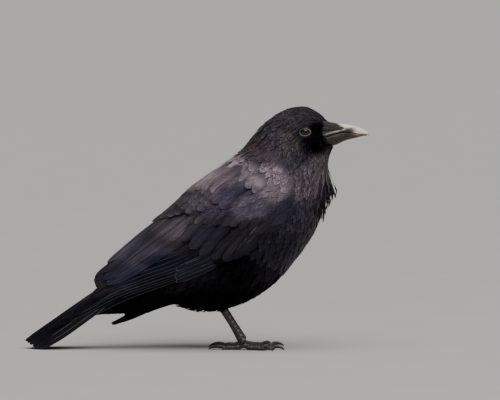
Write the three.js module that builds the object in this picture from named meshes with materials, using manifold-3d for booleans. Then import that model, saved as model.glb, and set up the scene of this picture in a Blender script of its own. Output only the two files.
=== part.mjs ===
// A standing crow at life size, as a still museum model: feathered body, folded wings, closed tail,
// bill, eyes and feet. Millimetres. +X is the way the bird faces, +Y its left and +Z up.
// The soles rest on Z = 0, and the origin lies under the middle of its length.
import * as THREE from "three";
import { mergeVertices } from "three/addons/utils/BufferGeometryUtils.js";
import Module from "manifold-3d";

const wasm = await Module();
wasm.setup();

// --- Driving dimensions --------------------------------------------------------------------------

const GAP = 0.3; // clearance left between pieces that meet
const SIDES = { right: -1, left: 1 };

// The body's rings, from the bill's root to the tail's root: where each meets the upper and lower
// outlines of the side view, and its half width.
const BODY_RINGS = [
  { at: "bill root", top: [146, 249.5], bottom: [152.5, 222.5], half: 9 },
  { at: "lores", top: [134.8, 259.8], bottom: [148.5, 214.5], half: 14.5 },
  { at: "eye and crown", top: [119.5, 266.4], bottom: [146, 204.5], half: 19 },
  { at: "hind crown", top: [97.4, 262.2], bottom: [146.5, 191.5], half: 23 },
  { at: "nape", top: [73.4, 246], bottom: [145.5, 175.5], half: 28 },
  { at: "neck root", top: [54, 222.8], bottom: [140.5, 156.5], half: 38 },
  { at: "shoulders", top: [33, 198], bottom: [132.2, 131.5], half: 47 },
  { at: "mid back", top: [1, 171], bottom: [114, 103], half: 51 },
  { at: "lower back", top: [-30, 139], bottom: [84, 69.5], half: 49 },
  { at: "rump", top: [-58, 110], bottom: [45.5, 47], half: 41 },
  { at: "vent", top: [-80, 86], bottom: [3, 43.5], half: 29 },
  { at: "tail root", top: [-101, 68], bottom: [-28, 54], half: 17 },
];
const BODY_LOFT = { around: 20, along: 23, ends: [0.06, 0.05] };

// The cuts that part the body: a point on each, and the degrees by which its normal leans up from +X.
const NECK_CUT = { x: 108, z: 219, lean: 42 };
const TRUNK_CUT = { x: 86, z: 184, lean: 50 };

// The outer surface of the two folded wings together, from ahead of the shoulders to past the
// longest tertials.
const WING_RINGS = [
  { at: "hind neck", top: [72, 243], bottom: [147, 175], half: 29.5 },
  { at: "neck root", top: [51, 219.5], bottom: [142, 155.5], half: 41.5 },
  { at: "bend of the wing", top: [33.5, 206], bottom: [134, 130], half: 52.5 },
  { at: "scapulars", top: [1, 181.8], bottom: [114, 101], half: 57.5 },
  { at: "greater coverts", top: [-32, 151.2], bottom: [80, 68], half: 57 },
  { at: "tertials", top: [-61, 128], bottom: [37, 45], half: 51.5 },
  { at: "secondaries", top: [-87, 105.5], bottom: [-5, 34], half: 42 },
  { at: "wing end", top: [-111, 84.5], bottom: [-45, 24], half: 32.5 },
  { at: "past the end", top: [-132, 62], bottom: [-80, 14], half: 25 },
];
const WING_LOFT = { around: 22, along: 17, ends: [0.03, 0.03] };
const WING_THICKNESS = 7;

// The folded wing in side view: bend and leading edge, lower edge, secondaries, rounded rear end,
// then clear of the back.
const WING_OUTLINE = {
  start: [46, 225],
  edges: [
    [[62, 214], [84, 199], [98, 184], [99.5, 174], [92, 158], [82, 136], [66, 113], [46, 99]],
    [[22, 93.5], [0, 86], [-20, 78]],
    [[-50, 67], [-80, 57], [-97, 57.5]],
    [[-108, 64], [-113.5, 74], [-113, 84]],
  ],
  clear: [[-118, 100], [-60, 160], [10, 215]],
};

// The seams that part the folded wing, drawn in side view: under the scapulars, at the greater
// coverts' tips, and between the tertials and the secondaries.
const WING_SEAMS = [
  [[110, 198], [82, 186], [49, 160], [21, 141], [-12, 123], [-36, 124], [-70, 146]],
  [[44, 70], [36, 96], [8, 104], [-10, 114], [-20, 123.2]],
  [[-10, 114], [-40, 97], [-78, 76], [-120, 58]],
];

// A point inside each of the parted pieces in side view.
const WING_PIECES = {
  scapulars: [30, 172],
  wing_coverts: [50, 135],
  tertials: [-50, 108],
  secondaries: [-30, 84],
};

// The feathered back between the wings seen from above: x, and half width there.
const MANTLE = { edge: [[70, 27], [45, 25], [15, 17], [-15, 7]], tip: -32, floor: 120, height: 150 };

// The bill in side view, from inside the face to the tip, and its half widths along the same way.
const CULMEN = [
  [137, 249.8], [147, 249.2], [157, 247.9], [165, 246.9], [172.5, 245.6],
  [179, 243.8], [185, 240.7], [189.3, 237.9], [191.2, 235.2],
];
const MOUTH_LINE = [
  [137, 230.6], [147, 234.2], [157, 237], [165, 237.9], [172.5, 237.2],
  [179, 236], [185, 235.4], [189.3, 235], [191.2, 233.6],
];
const BILL_HALVES = [10.8, 10, 8.6, 7.1, 5.8, 4.5, 3.2, 2.1, 0.9];

// The lower half follows the mouth line for a share of its length; its keel's heights are evenly
// spread along that.
const LOWER_BILL = {
  share: 0.86,
  width: 0.9,
  keel: [224.4, 222.7, 224, 227.5, 229.9, 231.3, 232.8, 234, 234.6],
};
const MOUTH_GAP = 0.35;
const BILL_EDGE = 0.35; // how far each half bulges towards the other
const BILL_LOFT = { around: 12, along: 11 };
const BILL_ROOT_CORE = { low: [136.5, -5, 229], high: [152, 5, 240] };
const BILL_ROOM = 0.45; // clearance round the bill inside the face

// The bristles lying forward over the nostril: a line on the left side, with half heights and half
// thicknesses.
const BRISTLES = {
  line: [[140, 9.6, 243.8], [150, 8.4, 242.9], [158, 6.9, 242.6], [163.5, 5.7, 242.6]],
  heights: [4.6, 4.4, 3, 0.8],
  thicknesses: [2.2, 2, 1.6, 0.6],
  lean: 0.35,
  ends: [0.12, 0.12],
};

// The eyeball, standing proud of the face by a little.
const EYE = { x: 120.3, z: 238.6, radius: 6.1, proud: 1.5 };

// The closed tail: the ridge line in side view, half widths along it, and how its roofed fan falls
// to each side.
const TAIL_LINE = [[-52, 100], [-88, 79], [-122, 56.5], [-156, 34], [-190, 13.5]];
const TAIL_HALVES = [14, 21, 26, 28, 27];
const TAIL = { sag: 22.5, sagWidth: 26, middle: 6.5, edge: 1.6, roundFrom: 0.8, roundEnd: 17 };

// The coverts under the tail: a soft mass that fills its roof, and a plume that hangs clear of it.
const UNDERTAIL_RINGS = [
  { at: "vent", top: [-24, 66], bottom: [-8, 52], half: 26 },
  { at: "root", top: [-50, 69], bottom: [-42, 47], half: 22 },
  { at: "middle", top: [-78, 60], bottom: [-72, 39.5], half: 17 },
  { at: "end", top: [-104, 46], bottom: [-104, 37.5], half: 11 },
  { at: "tip", top: [-118, 37], bottom: [-118.5, 35], half: 3 },
];
const PLUME_RINGS = [
  { at: "vent", top: [-22, 62], bottom: [-4, 44], half: 24 },
  { at: "root", top: [-38, 62], bottom: [-22, 48.5], half: 20 },
  { at: "middle", top: [-54, 52], bottom: [-46, 42], half: 13 },
  { at: "plume", top: [-72, 39.5], bottom: [-68, 33], half: 7.5 },
  { at: "tip", top: [-97.5, 25], bottom: [-97, 24], half: 1.2 },
];
const UNDERTAIL_LOFT = { around: 12, along: 9, ends: [0.06, 0.03] };

// The long primaries, showing below the wing and over the tail's edge: the left wing's line, with
// half chords, half thicknesses and the degrees by which the blade stands up from level.
const PRIMARIES = {
  line: [[0, 51, 81], [-25, 48, 71], [-60, 40, 59.5], [-95, 33, 47], [-130, 29.5, 31], [-166, 25.5, 15.5]],
  chords: [5, 7.6, 8, 7.4, 6.4, 5],
  thicknesses: [1.2, 2, 2, 1.8, 1.5, 1],
  stands: [76, 74, 68, 55, 44, 36],
  ends: [0.05, 0.16],
};

// The left leg. Radii are across each limb, fore and aft first, then sideways.
const STANCE = 23; // from the midline to the middle of each foot
const HEEL = { x: 26.5, z: 51.5 };
const FOOT = { x: 53, z: 6.5 };
const THIGH = {
  line: [[44, 30, 84], [35, 27, 64], [28, 24.5, 50], [25.5, 23.3, 42]],
  fore: [17, 14, 8.5, 5.2],
  sideways: [13, 11, 7, 4.6],
};
const TARSUS = { fore: [3.9, 3.5, 4.6], sideways: [3, 2.7, 4.6] };
const LIMB_LOFT = { around: 10, along: 8, ends: [0.08, 0.08] };

// Toes lie flat on the ground: degrees from straight ahead, length, claw length and half thickness.
const TOE_OUT = 5; // degrees that each foot turns outwards
const TOES = {
  middle: { heading: 0, length: 34, claw: 11, half: 3.1 },
  inner: { heading: 24, length: 25, claw: 10, half: 2.8 },
  outer: { heading: -24, length: 27, claw: 9.5, half: 2.8 },
  hind: { heading: 180, length: 24, claw: 15, half: 3.2 },
};
const TOE_HEIGHTS = [[0, 5.2], [0.3, 2.1], [0.65, 1.9], [1, 1.8]]; // share of the length, height
const TOE_TAPER = 0.22;
const TOE_PADS = { count: 3, swell: 0.1 };
const TOE_LOFT = { around: 8, along: 9, ends: [0.1, 0.1] };
const CLAW_HEIGHTS = [[0, 2.7], [0.4, 3.8], [0.78, 2.4], [1, 0]];
const CLAW_RADII = [2.1, 1.9, 1.2, 0.4];
const CLAW = { rootInToe: 2.5, narrow: 0.8 };
const CLAW_LOFT = { around: 6, along: 5, ends: [0.1, 0.08] };

const WHOLE_WIDTH = 160; // of a cutting shape that passes right through the bird
const FAR = 400; // the side of a cutting block that holds everything past a plane
const PRISM_STEPS = 2; // straight steps between the points of a cutting outline

const COLOURS = {
  body: { color: 0x1b191d, roughness: 0.6 },
  wing: { color: 0x1d1c24, roughness: 0.5 },
  flight: { color: 0x15151d, roughness: 0.45 },
  bill: { color: 0x6d6660, roughness: 0.4 },
  eye: { color: 0x0c0908, roughness: 0.08 },
  leg: { color: 0x2c2a2e, roughness: 0.55 },
  claw: { color: 0x151416, roughness: 0.35 },
};

// --- Helpers -------------------------------------------------------------------------------------

function signedVolume(geometry) {
  const position = geometry.attributes.position;
  const [a, b, c] = [new THREE.Vector3(), new THREE.Vector3(), new THREE.Vector3()];
  let volume = 0;
  for (let i = 0; i < geometry.index.count; i += 3) {
    a.fromBufferAttribute(position, geometry.index.getX(i));
    b.fromBufferAttribute(position, geometry.index.getX(i + 1));
    c.fromBufferAttribute(position, geometry.index.getX(i + 2));
    volume += a.dot(b.cross(c)) / 6;
  }
  return volume;
}

// A closed geometry as a solid whose faces point out.
function solid(geometry) {
  const bare = geometry.clone();
  bare.deleteAttribute("normal");
  bare.deleteAttribute("uv");
  const merged = mergeVertices(bare, 1e-4);
  const triVerts = new Uint32Array(merged.index.array);
  if (signedVolume(merged) < 0) {
    for (let i = 0; i < triVerts.length; i += 3) {
      [triVerts[i + 1], triVerts[i + 2]] = [triVerts[i + 2], triVerts[i + 1]];
    }
  }
  const vertProperties = new Float32Array(merged.attributes.position.array);
  return new wasm.Manifold(new wasm.Mesh({ numProp: 3, vertProperties, triVerts }));
}

// A closed lofted solid: placed(t, turn) gives the point, where t runs along it from 0 to 1 and turn
// goes round it.
function loft({ around, along }, placed) {
  const geometry = new THREE.SphereGeometry(1, around, along);
  geometry.deleteAttribute("normal");
  geometry.deleteAttribute("uv");
  const merged = mergeVertices(geometry, 1e-5);
  const position = merged.attributes.position;
  for (let i = 0; i < position.count; i++) {
    const [x, y, z] = [position.getX(i), position.getY(i), position.getZ(i)];
    const t = Math.acos(THREE.MathUtils.clamp(y, -1, 1)) / Math.PI;
    const point = placed(t, Math.atan2(x, z));
    position.setXYZ(i, point.x, point.y, point.z);
  }
  return solid(merged);
}

// 0 at both ends of a loft and 1 between them, rising as a quarter circle over the given shares of
// its length.
function roundEnds(t, [first, last]) {
  const rise = (share) => (share >= 1 ? 1 : Math.sqrt(1 - (1 - Math.max(share, 0)) ** 2));
  return Math.min(rise(t / first), rise((1 - t) / last));
}

// How far a grown copy's point moves along its axis: back at the first end and on at the last.
function endGrowth(t, grow) {
  return grow * (2 * t - 1);
}

function flatCurve(points) {
  return new THREE.SplineCurve(points.map(([x, y]) => new THREE.Vector2(x, y)));
}

function spaceCurve(points) {
  return new THREE.CatmullRomCurve3(points.map(([x, y, z]) => new THREE.Vector3(x, y, z)));
}

// A smooth curve through plain numbers, read at t from 0 to 1.
function numberCurve(values) {
  const curve = flatCurve(values.map((value, i) => [i, value]));
  return (t) => curve.getPoint(THREE.MathUtils.clamp(t, 0, 1)).y;
}

function signedPower(value, power) {
  return Math.sign(value) * Math.abs(value) ** power;
}

// A solid hung on rings between an upper and a lower outline of the side view.
function ringLoft(rings, { around, along, ends }, grow) {
  const top = flatCurve(rings.map((ring) => ring.top));
  const bottom = flatCurve(rings.map((ring) => ring.bottom));
  const half = numberCurve(rings.map((ring) => ring.half));
  const [first, last] = ends;
  return loft({ around, along }, (t, turn) => {
    const share = THREE.MathUtils.clamp((t - first / 2) / (1 - first / 2 - last / 2), 0, 1);
    const [upper, lower] = [top.getPoint(share), bottom.getPoint(share)];
    const middle = upper.clone().add(lower).multiplyScalar(0.5);
    const reach = upper.distanceTo(lower) / 2;
    const up = upper.clone().sub(lower).normalize();
    const size = roundEnds(t, ends);
    const rise = (reach + grow) * size * Math.cos(turn);
    const on = endGrowth(t, grow);
    return new THREE.Vector3(
      middle.x + up.x * rise - up.y * on,
      (half(share) + grow) * size * Math.sin(turn),
      middle.y + up.y * rise + up.x * on,
    );
  });
}

// A side outline in XZ, as thick as the whole bird across Y.
function sidePrism(shape) {
  const options = { depth: WHOLE_WIDTH, bevelEnabled: false, curveSegments: PRISM_STEPS };
  const geometry = new THREE.ExtrudeGeometry(shape, options);
  geometry.translate(0, 0, -WHOLE_WIDTH / 2);
  geometry.rotateX(Math.PI / 2);
  return solid(geometry);
}

// A box between two corners.
function block(low, high) {
  const size = high.map((value, i) => value - low[i]);
  const middle = high.map((value, i) => (value + low[i]) / 2);
  const geometry = new THREE.BoxGeometry(...size);
  geometry.translate(...middle);
  return solid(geometry);
}

// All that lies past a plane of the given lean, starting `clearance` beyond it.
function beyond({ x, z, lean }, clearance) {
  const geometry = new THREE.BoxGeometry(FAR, FAR, FAR);
  geometry.translate(FAR / 2 + clearance, 0, 0);
  geometry.rotateY(-THREE.MathUtils.degToRad(lean));
  geometry.translate(x, 0, z);
  return solid(geometry);
}

// All that lies behind a plane of the given lean.
function behind({ x, z, lean }, clearance) {
  return beyond({ x, z, lean: lean + 180 }, clearance);
}

// A thin sheet right through the bird that follows a line of the side view.
function slit(points) {
  const curve = flatCurve(points);
  const steps = (points.length - 1) * PRISM_STEPS;
  const edge = (offset) => Array.from({ length: steps + 1 }, (_, i) => {
    const along = curve.getTangent(i / steps);
    return curve.getPoint(i / steps).add(new THREE.Vector2(-along.y, along.x).multiplyScalar(offset));
  });
  return sidePrism(new THREE.Shape([...edge(GAP / 2), ...edge(-GAP / 2).reverse()]));
}

function largest(manifold) {
  return manifold.decompose().reduce((best, piece) => (piece.volume() > best.volume() ? piece : best));
}

function onSide(manifold, side) {
  return side > 0 ? manifold : manifold.mirror([0, 1, 0]);
}

const materials = {};
for (const [name, look] of Object.entries(COLOURS)) {
  materials[name] = new THREE.MeshStandardMaterial({ ...look, metalness: 0 });
}
const bird = new THREE.Group();

// Adds a finished solid as a named mesh.
function addPart(name, manifold, look) {
  const mesh = largest(manifold).getMesh();
  const position = new Float32Array(mesh.numVert * 3);
  for (let i = 0; i < mesh.numVert; i++) {
    position.set(mesh.vertProperties.subarray(i * mesh.numProp, i * mesh.numProp + 3), i * 3);
  }
  const geometry = new THREE.BufferGeometry();
  geometry.setAttribute("position", new THREE.BufferAttribute(position, 3));
  geometry.setIndex(new THREE.BufferAttribute(mesh.triVerts, 1));
  geometry.computeVertexNormals();
  const part = new THREE.Mesh(geometry, materials[look]);
  part.name = name;
  bird.add(part);
}

// --- Bill ----------------------------------------------------------------------------------------

const culmen = flatCurve(CULMEN);
const mouthLine = flatCurve(MOUTH_LINE);
const keelHeight = numberCurve(LOWER_BILL.keel);
const billHalf = numberCurve(BILL_HALVES);

function upperBill(grow) {
  return loft(BILL_LOFT, (t, turn) => {
    const [ridge, mouth] = [culmen.getPoint(t), mouthLine.getPoint(t)];
    const size = roundEnds(t, [0.06, 0.07]);
    const [up, across] = [Math.cos(turn), Math.sin(turn)];
    const height = Math.max(ridge.y - mouth.y - MOUTH_GAP / 2 - BILL_EDGE, 0.6);
    const rise = up > 0 ? height * up ** 0.85 + grow * up : up * (BILL_EDGE + grow);
    return new THREE.Vector3(
      (ridge.x + mouth.x) / 2 + endGrowth(t, grow),
      (billHalf(t) + grow) * signedPower(across, 0.9) * size,
      mouth.y + MOUTH_GAP / 2 + BILL_EDGE + rise * size,
    );
  });
}

function lowerBill(grow) {
  return loft(BILL_LOFT, (t, turn) => {
    const mouth = mouthLine.getPoint(t * LOWER_BILL.share);
    const size = roundEnds(t, [0.06, 0.1]);
    const [down, across] = [-Math.cos(turn), Math.sin(turn)];
    const depth = Math.max(mouth.y - keelHeight(t) - MOUTH_GAP / 2 - BILL_EDGE, 0.7);
    const sag = down > 0 ? depth * down ** 0.85 + grow * down : down * (BILL_EDGE + grow);
    return new THREE.Vector3(
      mouth.x + endGrowth(t, grow),
      (billHalf(t * LOWER_BILL.share) * LOWER_BILL.width + grow) * signedPower(across, 0.9) * size,
      mouth.y - MOUTH_GAP / 2 - BILL_EDGE - sag * size,
    );
  });
}

const billRoom = upperBill(BILL_ROOM)
  .add(lowerBill(BILL_ROOM))
  .add(block(BILL_ROOT_CORE.low, BILL_ROOT_CORE.high));

// --- Head, neck and trunk ------------------------------------------------------------------------

const body = ringLoft(BODY_RINGS, BODY_LOFT, 0);
const bodyRoom = ringLoft(BODY_RINGS, BODY_LOFT, GAP);

function bristlePad(grow) {
  const line = spaceCurve(BRISTLES.line);
  const [height, thickness] = [numberCurve(BRISTLES.heights), numberCurve(BRISTLES.thicknesses)];
  return loft({ around: 8, along: 6 }, (t, turn) => {
    const middle = line.getPoint(t);
    const size = roundEnds(t, BRISTLES.ends);
    const up = Math.cos(turn) * (height(t) + grow) * size;
    const out = Math.sin(turn) * (thickness(t) + grow) * size;
    return new THREE.Vector3(
      middle.x + endGrowth(t, grow),
      middle.y + out - up * BRISTLES.lean,
      middle.z + up,
    );
  });
}

// How far out the left side of the face lies where the eye is.
function faceSide() {
  const probe = block([EYE.x - 0.05, 0, EYE.z - 0.05], [EYE.x + 0.05, WHOLE_WIDTH, EYE.z + 0.05]);
  return body.intersect(probe).boundingBox().max[1];
}

const eyeMiddle = faceSide() + EYE.proud - EYE.radius;

function eyeball(grow) {
  const geometry = new THREE.SphereGeometry(EYE.radius + grow, 12, 8);
  geometry.translate(EYE.x, eyeMiddle, EYE.z);
  return solid(geometry);
}

function headSolid() {
  let head = body.intersect(beyond(NECK_CUT, GAP / 2)).subtract(billRoom);
  for (const side of Object.values(SIDES)) {
    head = head.subtract(onSide(eyeball(GAP), side)).subtract(onSide(bristlePad(GAP), side));
  }
  return head;
}

function neckSolid() {
  return body.intersect(behind(NECK_CUT, GAP / 2)).intersect(beyond(TRUNK_CUT, GAP / 2));
}

// --- Folded wings and the back between them ------------------------------------------------------

function wingOutline() {
  const shape = new THREE.Shape();
  shape.moveTo(...WING_OUTLINE.start);
  for (const edge of WING_OUTLINE.edges) {
    shape.splineThru(edge.map(([x, z]) => new THREE.Vector2(x, z)));
  }
  for (const corner of WING_OUTLINE.clear) {
    shape.lineTo(...corner);
  }
  return sidePrism(shape);
}

// The back's outline seen from above, standing right through the wings' upper surface.
function mantlePrism(grow) {
  const right = MANTLE.edge.map(([x, y]) => new THREE.Vector2(x, -(y + grow)));
  const left = MANTLE.edge.map(([x, y]) => new THREE.Vector2(x, y + grow)).reverse();
  const shape = new THREE.Shape([...right, new THREE.Vector2(MANTLE.tip - grow, 0), ...left]);
  const geometry = new THREE.ExtrudeGeometry(shape, { depth: MANTLE.height, bevelEnabled: false });
  geometry.translate(0, 0, MANTLE.floor);
  return solid(geometry);
}

const wingSide = wingOutline();
const wingOuter = ringLoft(WING_RINGS, WING_LOFT, 0);
const wingInner = ringLoft(WING_RINGS, WING_LOFT, -WING_THICKNESS);

function trunkSolid() {
  const mantle = wingOuter.intersect(wingSide).intersect(mantlePrism(0));
  return body.add(mantle).intersect(behind(TRUNK_CUT, GAP / 2));
}

function wingShell() {
  const leftHalf = block([-FAR, GAP / 2, -FAR], [FAR, WHOLE_WIDTH, FAR]);
  return wingOuter
    .subtract(wingInner)
    .intersect(wingSide)
    .intersect(leftHalf)
    .subtract(bodyRoom)
    .subtract(mantlePrism(GAP))
    .subtract(tailSolid(GAP));
}

// The left wing parted along its seams, as named pieces.
function wingPieces() {
  let shell = wingShell();
  for (const seam of WING_SEAMS) {
    shell = shell.subtract(slit(seam));
  }
  const pieces = shell.decompose();
  return Object.entries(WING_PIECES).map(([name, [x, z]]) => {
    const probe = block([x - 1, 0, z - 1], [x + 1, WHOLE_WIDTH, z + 1]);
    return [name, pieces.find((piece) => piece.intersect(probe).volume() > 0)];
  });
}

// --- Tail, its under coverts and the long primaries ----------------------------------------------

// A closed fan of feathers, roofed along its middle, with a rounded end.
function tailSolid(grow) {
  const line = flatCurve(TAIL_LINE);
  const half = numberCurve(TAIL_HALVES);
  return loft({ around: 18, along: 12 }, (t, turn) => {
    const ridge = line.getPoint(t);
    const slope = line.getTangent(t);
    const [up, out] = [Math.cos(turn), Math.sin(turn)];
    const side = signedPower(out, 0.75);
    const fall = Math.abs(side) ** 1.5;
    const thickness = THREE.MathUtils.lerp(TAIL.middle, TAIL.edge, fall);
    const size = roundEnds(t, [0.04, 0.03]);
    const width = half(t) * roundEnds(t, [0.04, 0.12]);
    const sag = TAIL.sag * Math.min(1, half(t) / TAIL.sagWidth);
    const roofLean = Math.atan((1.5 * Math.sqrt(Math.abs(side)) * sag) / half(t));
    const [level, steep] = [Math.cos(roofLean), Math.sin(roofLean)];
    const late = Math.max(0, t - TAIL.roundFrom) / (1 - TAIL.roundFrom);
    const on = endGrowth(t, grow) - TAIL.roundEnd * Math.abs(side) ** 2.2 * late ** 2;
    const sink = grow * (Math.abs(out) * steep - up * level);
    const drop = fall * sag + (thickness / 2) * (1 - up * size) + sink;
    return new THREE.Vector3(
      ridge.x + slope.x * on - slope.y * drop,
      width * side + grow * (out * level + Math.sign(side) * up * steep),
      ridge.y + slope.y * on - Math.abs(slope.x) * drop,
    );
  });
}

function undertailSolid(grow) {
  const plume = ringLoft(PLUME_RINGS, UNDERTAIL_LOFT, grow);
  return ringLoft(UNDERTAIL_RINGS, UNDERTAIL_LOFT, grow).add(plume);
}

function primaryBlade() {
  const line = spaceCurve(PRIMARIES.line);
  const [chord, thickness] = [numberCurve(PRIMARIES.chords), numberCurve(PRIMARIES.thicknesses)];
  const stand = numberCurve(PRIMARIES.stands);
  return loft({ around: 8, along: 14 }, (t, turn) => {
    const middle = line.getPoint(t);
    const size = roundEnds(t, PRIMARIES.ends);
    const lean = THREE.MathUtils.degToRad(stand(t));
    const up = Math.cos(turn) * chord(t) * size;
    const out = Math.sin(turn) * thickness(t) * size ** 0.5;
    return new THREE.Vector3(
      middle.x,
      middle.y - up * Math.cos(lean) + out * Math.sin(lean),
      middle.z + up * Math.sin(lean) + out * Math.cos(lean),
    );
  });
}

// --- Legs ----------------------------------------------------------------------------------------

// A rounded limb along a line of points.
function limb(points, foreRadii, sideRadii, grow) {
  const line = spaceCurve(points);
  const [fore, sideways] = [numberCurve(foreRadii), numberCurve(sideRadii)];
  return loft(LIMB_LOFT, (t, turn) => {
    const forward = line.getTangent(t);
    const flank = new THREE.Vector3(0, 1, 0).addScaledVector(forward, -forward.y).normalize();
    const front = flank.clone().cross(forward).normalize();
    const size = roundEnds(t, LIMB_LOFT.ends);
    return line.getPoint(t)
      .addScaledVector(forward, endGrowth(t, grow))
      .addScaledVector(front, Math.cos(turn) * (fore(t) + grow) * size)
      .addScaledVector(flank, Math.sin(turn) * (sideways(t) + grow) * size);
  });
}

function thigh() {
  return limb(THIGH.line, THIGH.fore, THIGH.sideways, 0);
}

function tarsus(grow) {
  const knee = [HEEL.x - 1, STANCE, HEEL.z];
  const shin = [(HEEL.x + FOOT.x) / 2, STANCE, (HEEL.z + FOOT.z) / 2];
  const foot = [FOOT.x, STANCE, FOOT.z];
  return limb([knee, shin, foot], TARSUS.fore, TARSUS.sideways, grow);
}

// A line along a toe of the left foot, through [distance from the foot, height] pairs.
function toeLine(toe, stations) {
  const outwards = THREE.MathUtils.degToRad(TOE_OUT - toe.heading);
  const [ahead, aside] = [Math.cos(outwards), Math.sin(outwards)];
  return spaceCurve(stations.map(([along, height]) => [
    FOOT.x + along * ahead,
    STANCE + along * aside,
    height,
  ]));
}

// The toe's underside is squared off, so that it lies flat.
function toeSolid(toe, grow) {
  const line = toeLine(toe, TOE_HEIGHTS.map(([share, height]) => [share * toe.length, height]));
  return loft(TOE_LOFT, (t, turn) => {
    const forward = line.getTangent(t);
    const flank = new THREE.Vector3(-forward.y, forward.x, 0).normalize();
    const pads = 1 + TOE_PADS.swell * Math.cos(t * Math.PI * 2 * TOE_PADS.count);
    const radius = (toe.half * (1 - TOE_TAPER * t) * pads + grow) * roundEnds(t, TOE_LOFT.ends);
    const rise = Math.cos(turn) > 0 ? Math.cos(turn) : signedPower(Math.cos(turn), 0.5);
    const point = line.getPoint(t)
      .addScaledVector(forward, endGrowth(t, grow))
      .addScaledVector(flank, Math.sin(turn) * radius);
    point.z = Math.max(point.z + rise * radius, -grow);
    return point;
  });
}

function clawSolid(toe) {
  const root = toe.length - CLAW.rootInToe;
  const reach = toe.claw + CLAW.rootInToe;
  const line = toeLine(toe, CLAW_HEIGHTS.map(([share, height]) => [root + share * reach, height]));
  const radius = numberCurve(CLAW_RADII);
  return loft(CLAW_LOFT, (t, turn) => {
    const forward = line.getTangent(t);
    const flank = new THREE.Vector3(-forward.y, forward.x, 0).normalize();
    const up = forward.clone().cross(flank).normalize();
    const size = radius(t) * roundEnds(t, CLAW_LOFT.ends);
    const point = line.getPoint(t)
      .addScaledVector(flank, Math.sin(turn) * size * CLAW.narrow)
      .addScaledVector(up, Math.cos(turn) * size);
    point.z = Math.max(point.z, 0);
    return point;
  });
}

// --- Assembly ------------------------------------------------------------------------------------

addPart("head", headSolid(), "body");
addPart("neck", neckSolid(), "body");
addPart("trunk", trunkSolid(), "body");
addPart("tail", tailSolid(0).subtract(bodyRoom), "flight");
addPart("undertail_coverts", undertailSolid(0).subtract(bodyRoom).subtract(tailSolid(GAP)), "body");
addPart("bill_upper", upperBill(0), "bill");
addPart("bill_lower", lowerBill(0), "bill");

const wing = wingPieces();
const blade = primaryBlade()
  .subtract(wingSide)
  .subtract(bodyRoom)
  .subtract(tailSolid(GAP))
  .subtract(undertailSolid(GAP));

function addLeg(name, side) {
  addPart(`thigh_${name}`, onSide(thigh().subtract(bodyRoom).subtract(tarsus(GAP)), side), "body");
  addPart(`tarsus_${name}`, onSide(tarsus(0).subtract(bodyRoom), side), "leg");
  let taken = tarsus(GAP);
  for (const [toeName, toe] of Object.entries(TOES)) {
    const toeRoom = toeSolid(toe, GAP);
    addPart(`toe_${toeName}_${name}`, onSide(toeSolid(toe, 0).subtract(taken), side), "leg");
    addPart(`claw_${toeName}_${name}`, onSide(clawSolid(toe).subtract(toeRoom), side), "claw");
    taken = taken.add(toeRoom);
  }
}

for (const [name, side] of Object.entries(SIDES)) {
  addPart(`eye_${name}`, onSide(eyeball(0), side), "eye");
  addPart(`nasal_bristles_${name}`, onSide(bristlePad(0).subtract(billRoom), side), "body");
  for (const [pieceName, piece] of wing) {
    addPart(`${pieceName}_${name}`, onSide(piece, side), "wing");
  }
  addPart(`primaries_${name}`, onSide(blade, side), "flight");
  addLeg(name, side);
}

export default bird;
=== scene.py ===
# %% [markdown]
# # A crow, feather by feather
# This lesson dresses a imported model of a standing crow. The frame holds plain solids at life size.
# Over them go a skin, some thousands of feathers that follow the lie of the coat, and the horny parts:
# bill, eyes, scaled legs and claws. The frame is loaded first, because every piece is placed on it.

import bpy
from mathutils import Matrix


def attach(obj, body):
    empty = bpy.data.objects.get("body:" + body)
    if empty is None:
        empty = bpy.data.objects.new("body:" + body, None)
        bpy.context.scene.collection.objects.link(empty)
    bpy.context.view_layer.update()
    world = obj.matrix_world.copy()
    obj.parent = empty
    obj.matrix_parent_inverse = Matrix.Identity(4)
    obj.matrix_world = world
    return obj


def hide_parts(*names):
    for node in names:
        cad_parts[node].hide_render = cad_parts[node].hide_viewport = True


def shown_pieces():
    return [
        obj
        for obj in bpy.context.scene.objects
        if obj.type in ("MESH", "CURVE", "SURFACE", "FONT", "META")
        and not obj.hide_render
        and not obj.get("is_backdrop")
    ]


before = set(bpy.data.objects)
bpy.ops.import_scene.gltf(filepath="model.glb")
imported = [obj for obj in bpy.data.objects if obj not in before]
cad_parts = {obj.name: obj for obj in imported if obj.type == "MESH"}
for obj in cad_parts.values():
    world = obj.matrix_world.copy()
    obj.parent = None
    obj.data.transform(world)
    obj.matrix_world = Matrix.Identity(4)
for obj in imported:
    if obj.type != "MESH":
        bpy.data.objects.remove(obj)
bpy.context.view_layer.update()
print("frame:", len(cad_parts), "nodes")

# %% [markdown]
# Sizes are written in millimetres, as a maker measures a bird, and turned into metres when a mesh is made.
# +X is the way the bird faces, +Y is its left, and +Z is up.

# %% Units
import math

import bmesh
import bpy
import numpy as np
from mathutils import Vector

MM = 0.001
SIDES = {"right": -1, "left": 1}
BODY = "root"

# %% [markdown]
# A bird's outline has no straight line in it, so all its measures run along smooth curves. This one passes
# through each given point in turn, and goes straight on past both ends, where a feather may stick out.
# Curve objects could hold the same lines, but a function answers for thousands of places at once.

# %% Smooth curves
NUDGE = 1e-3


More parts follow.
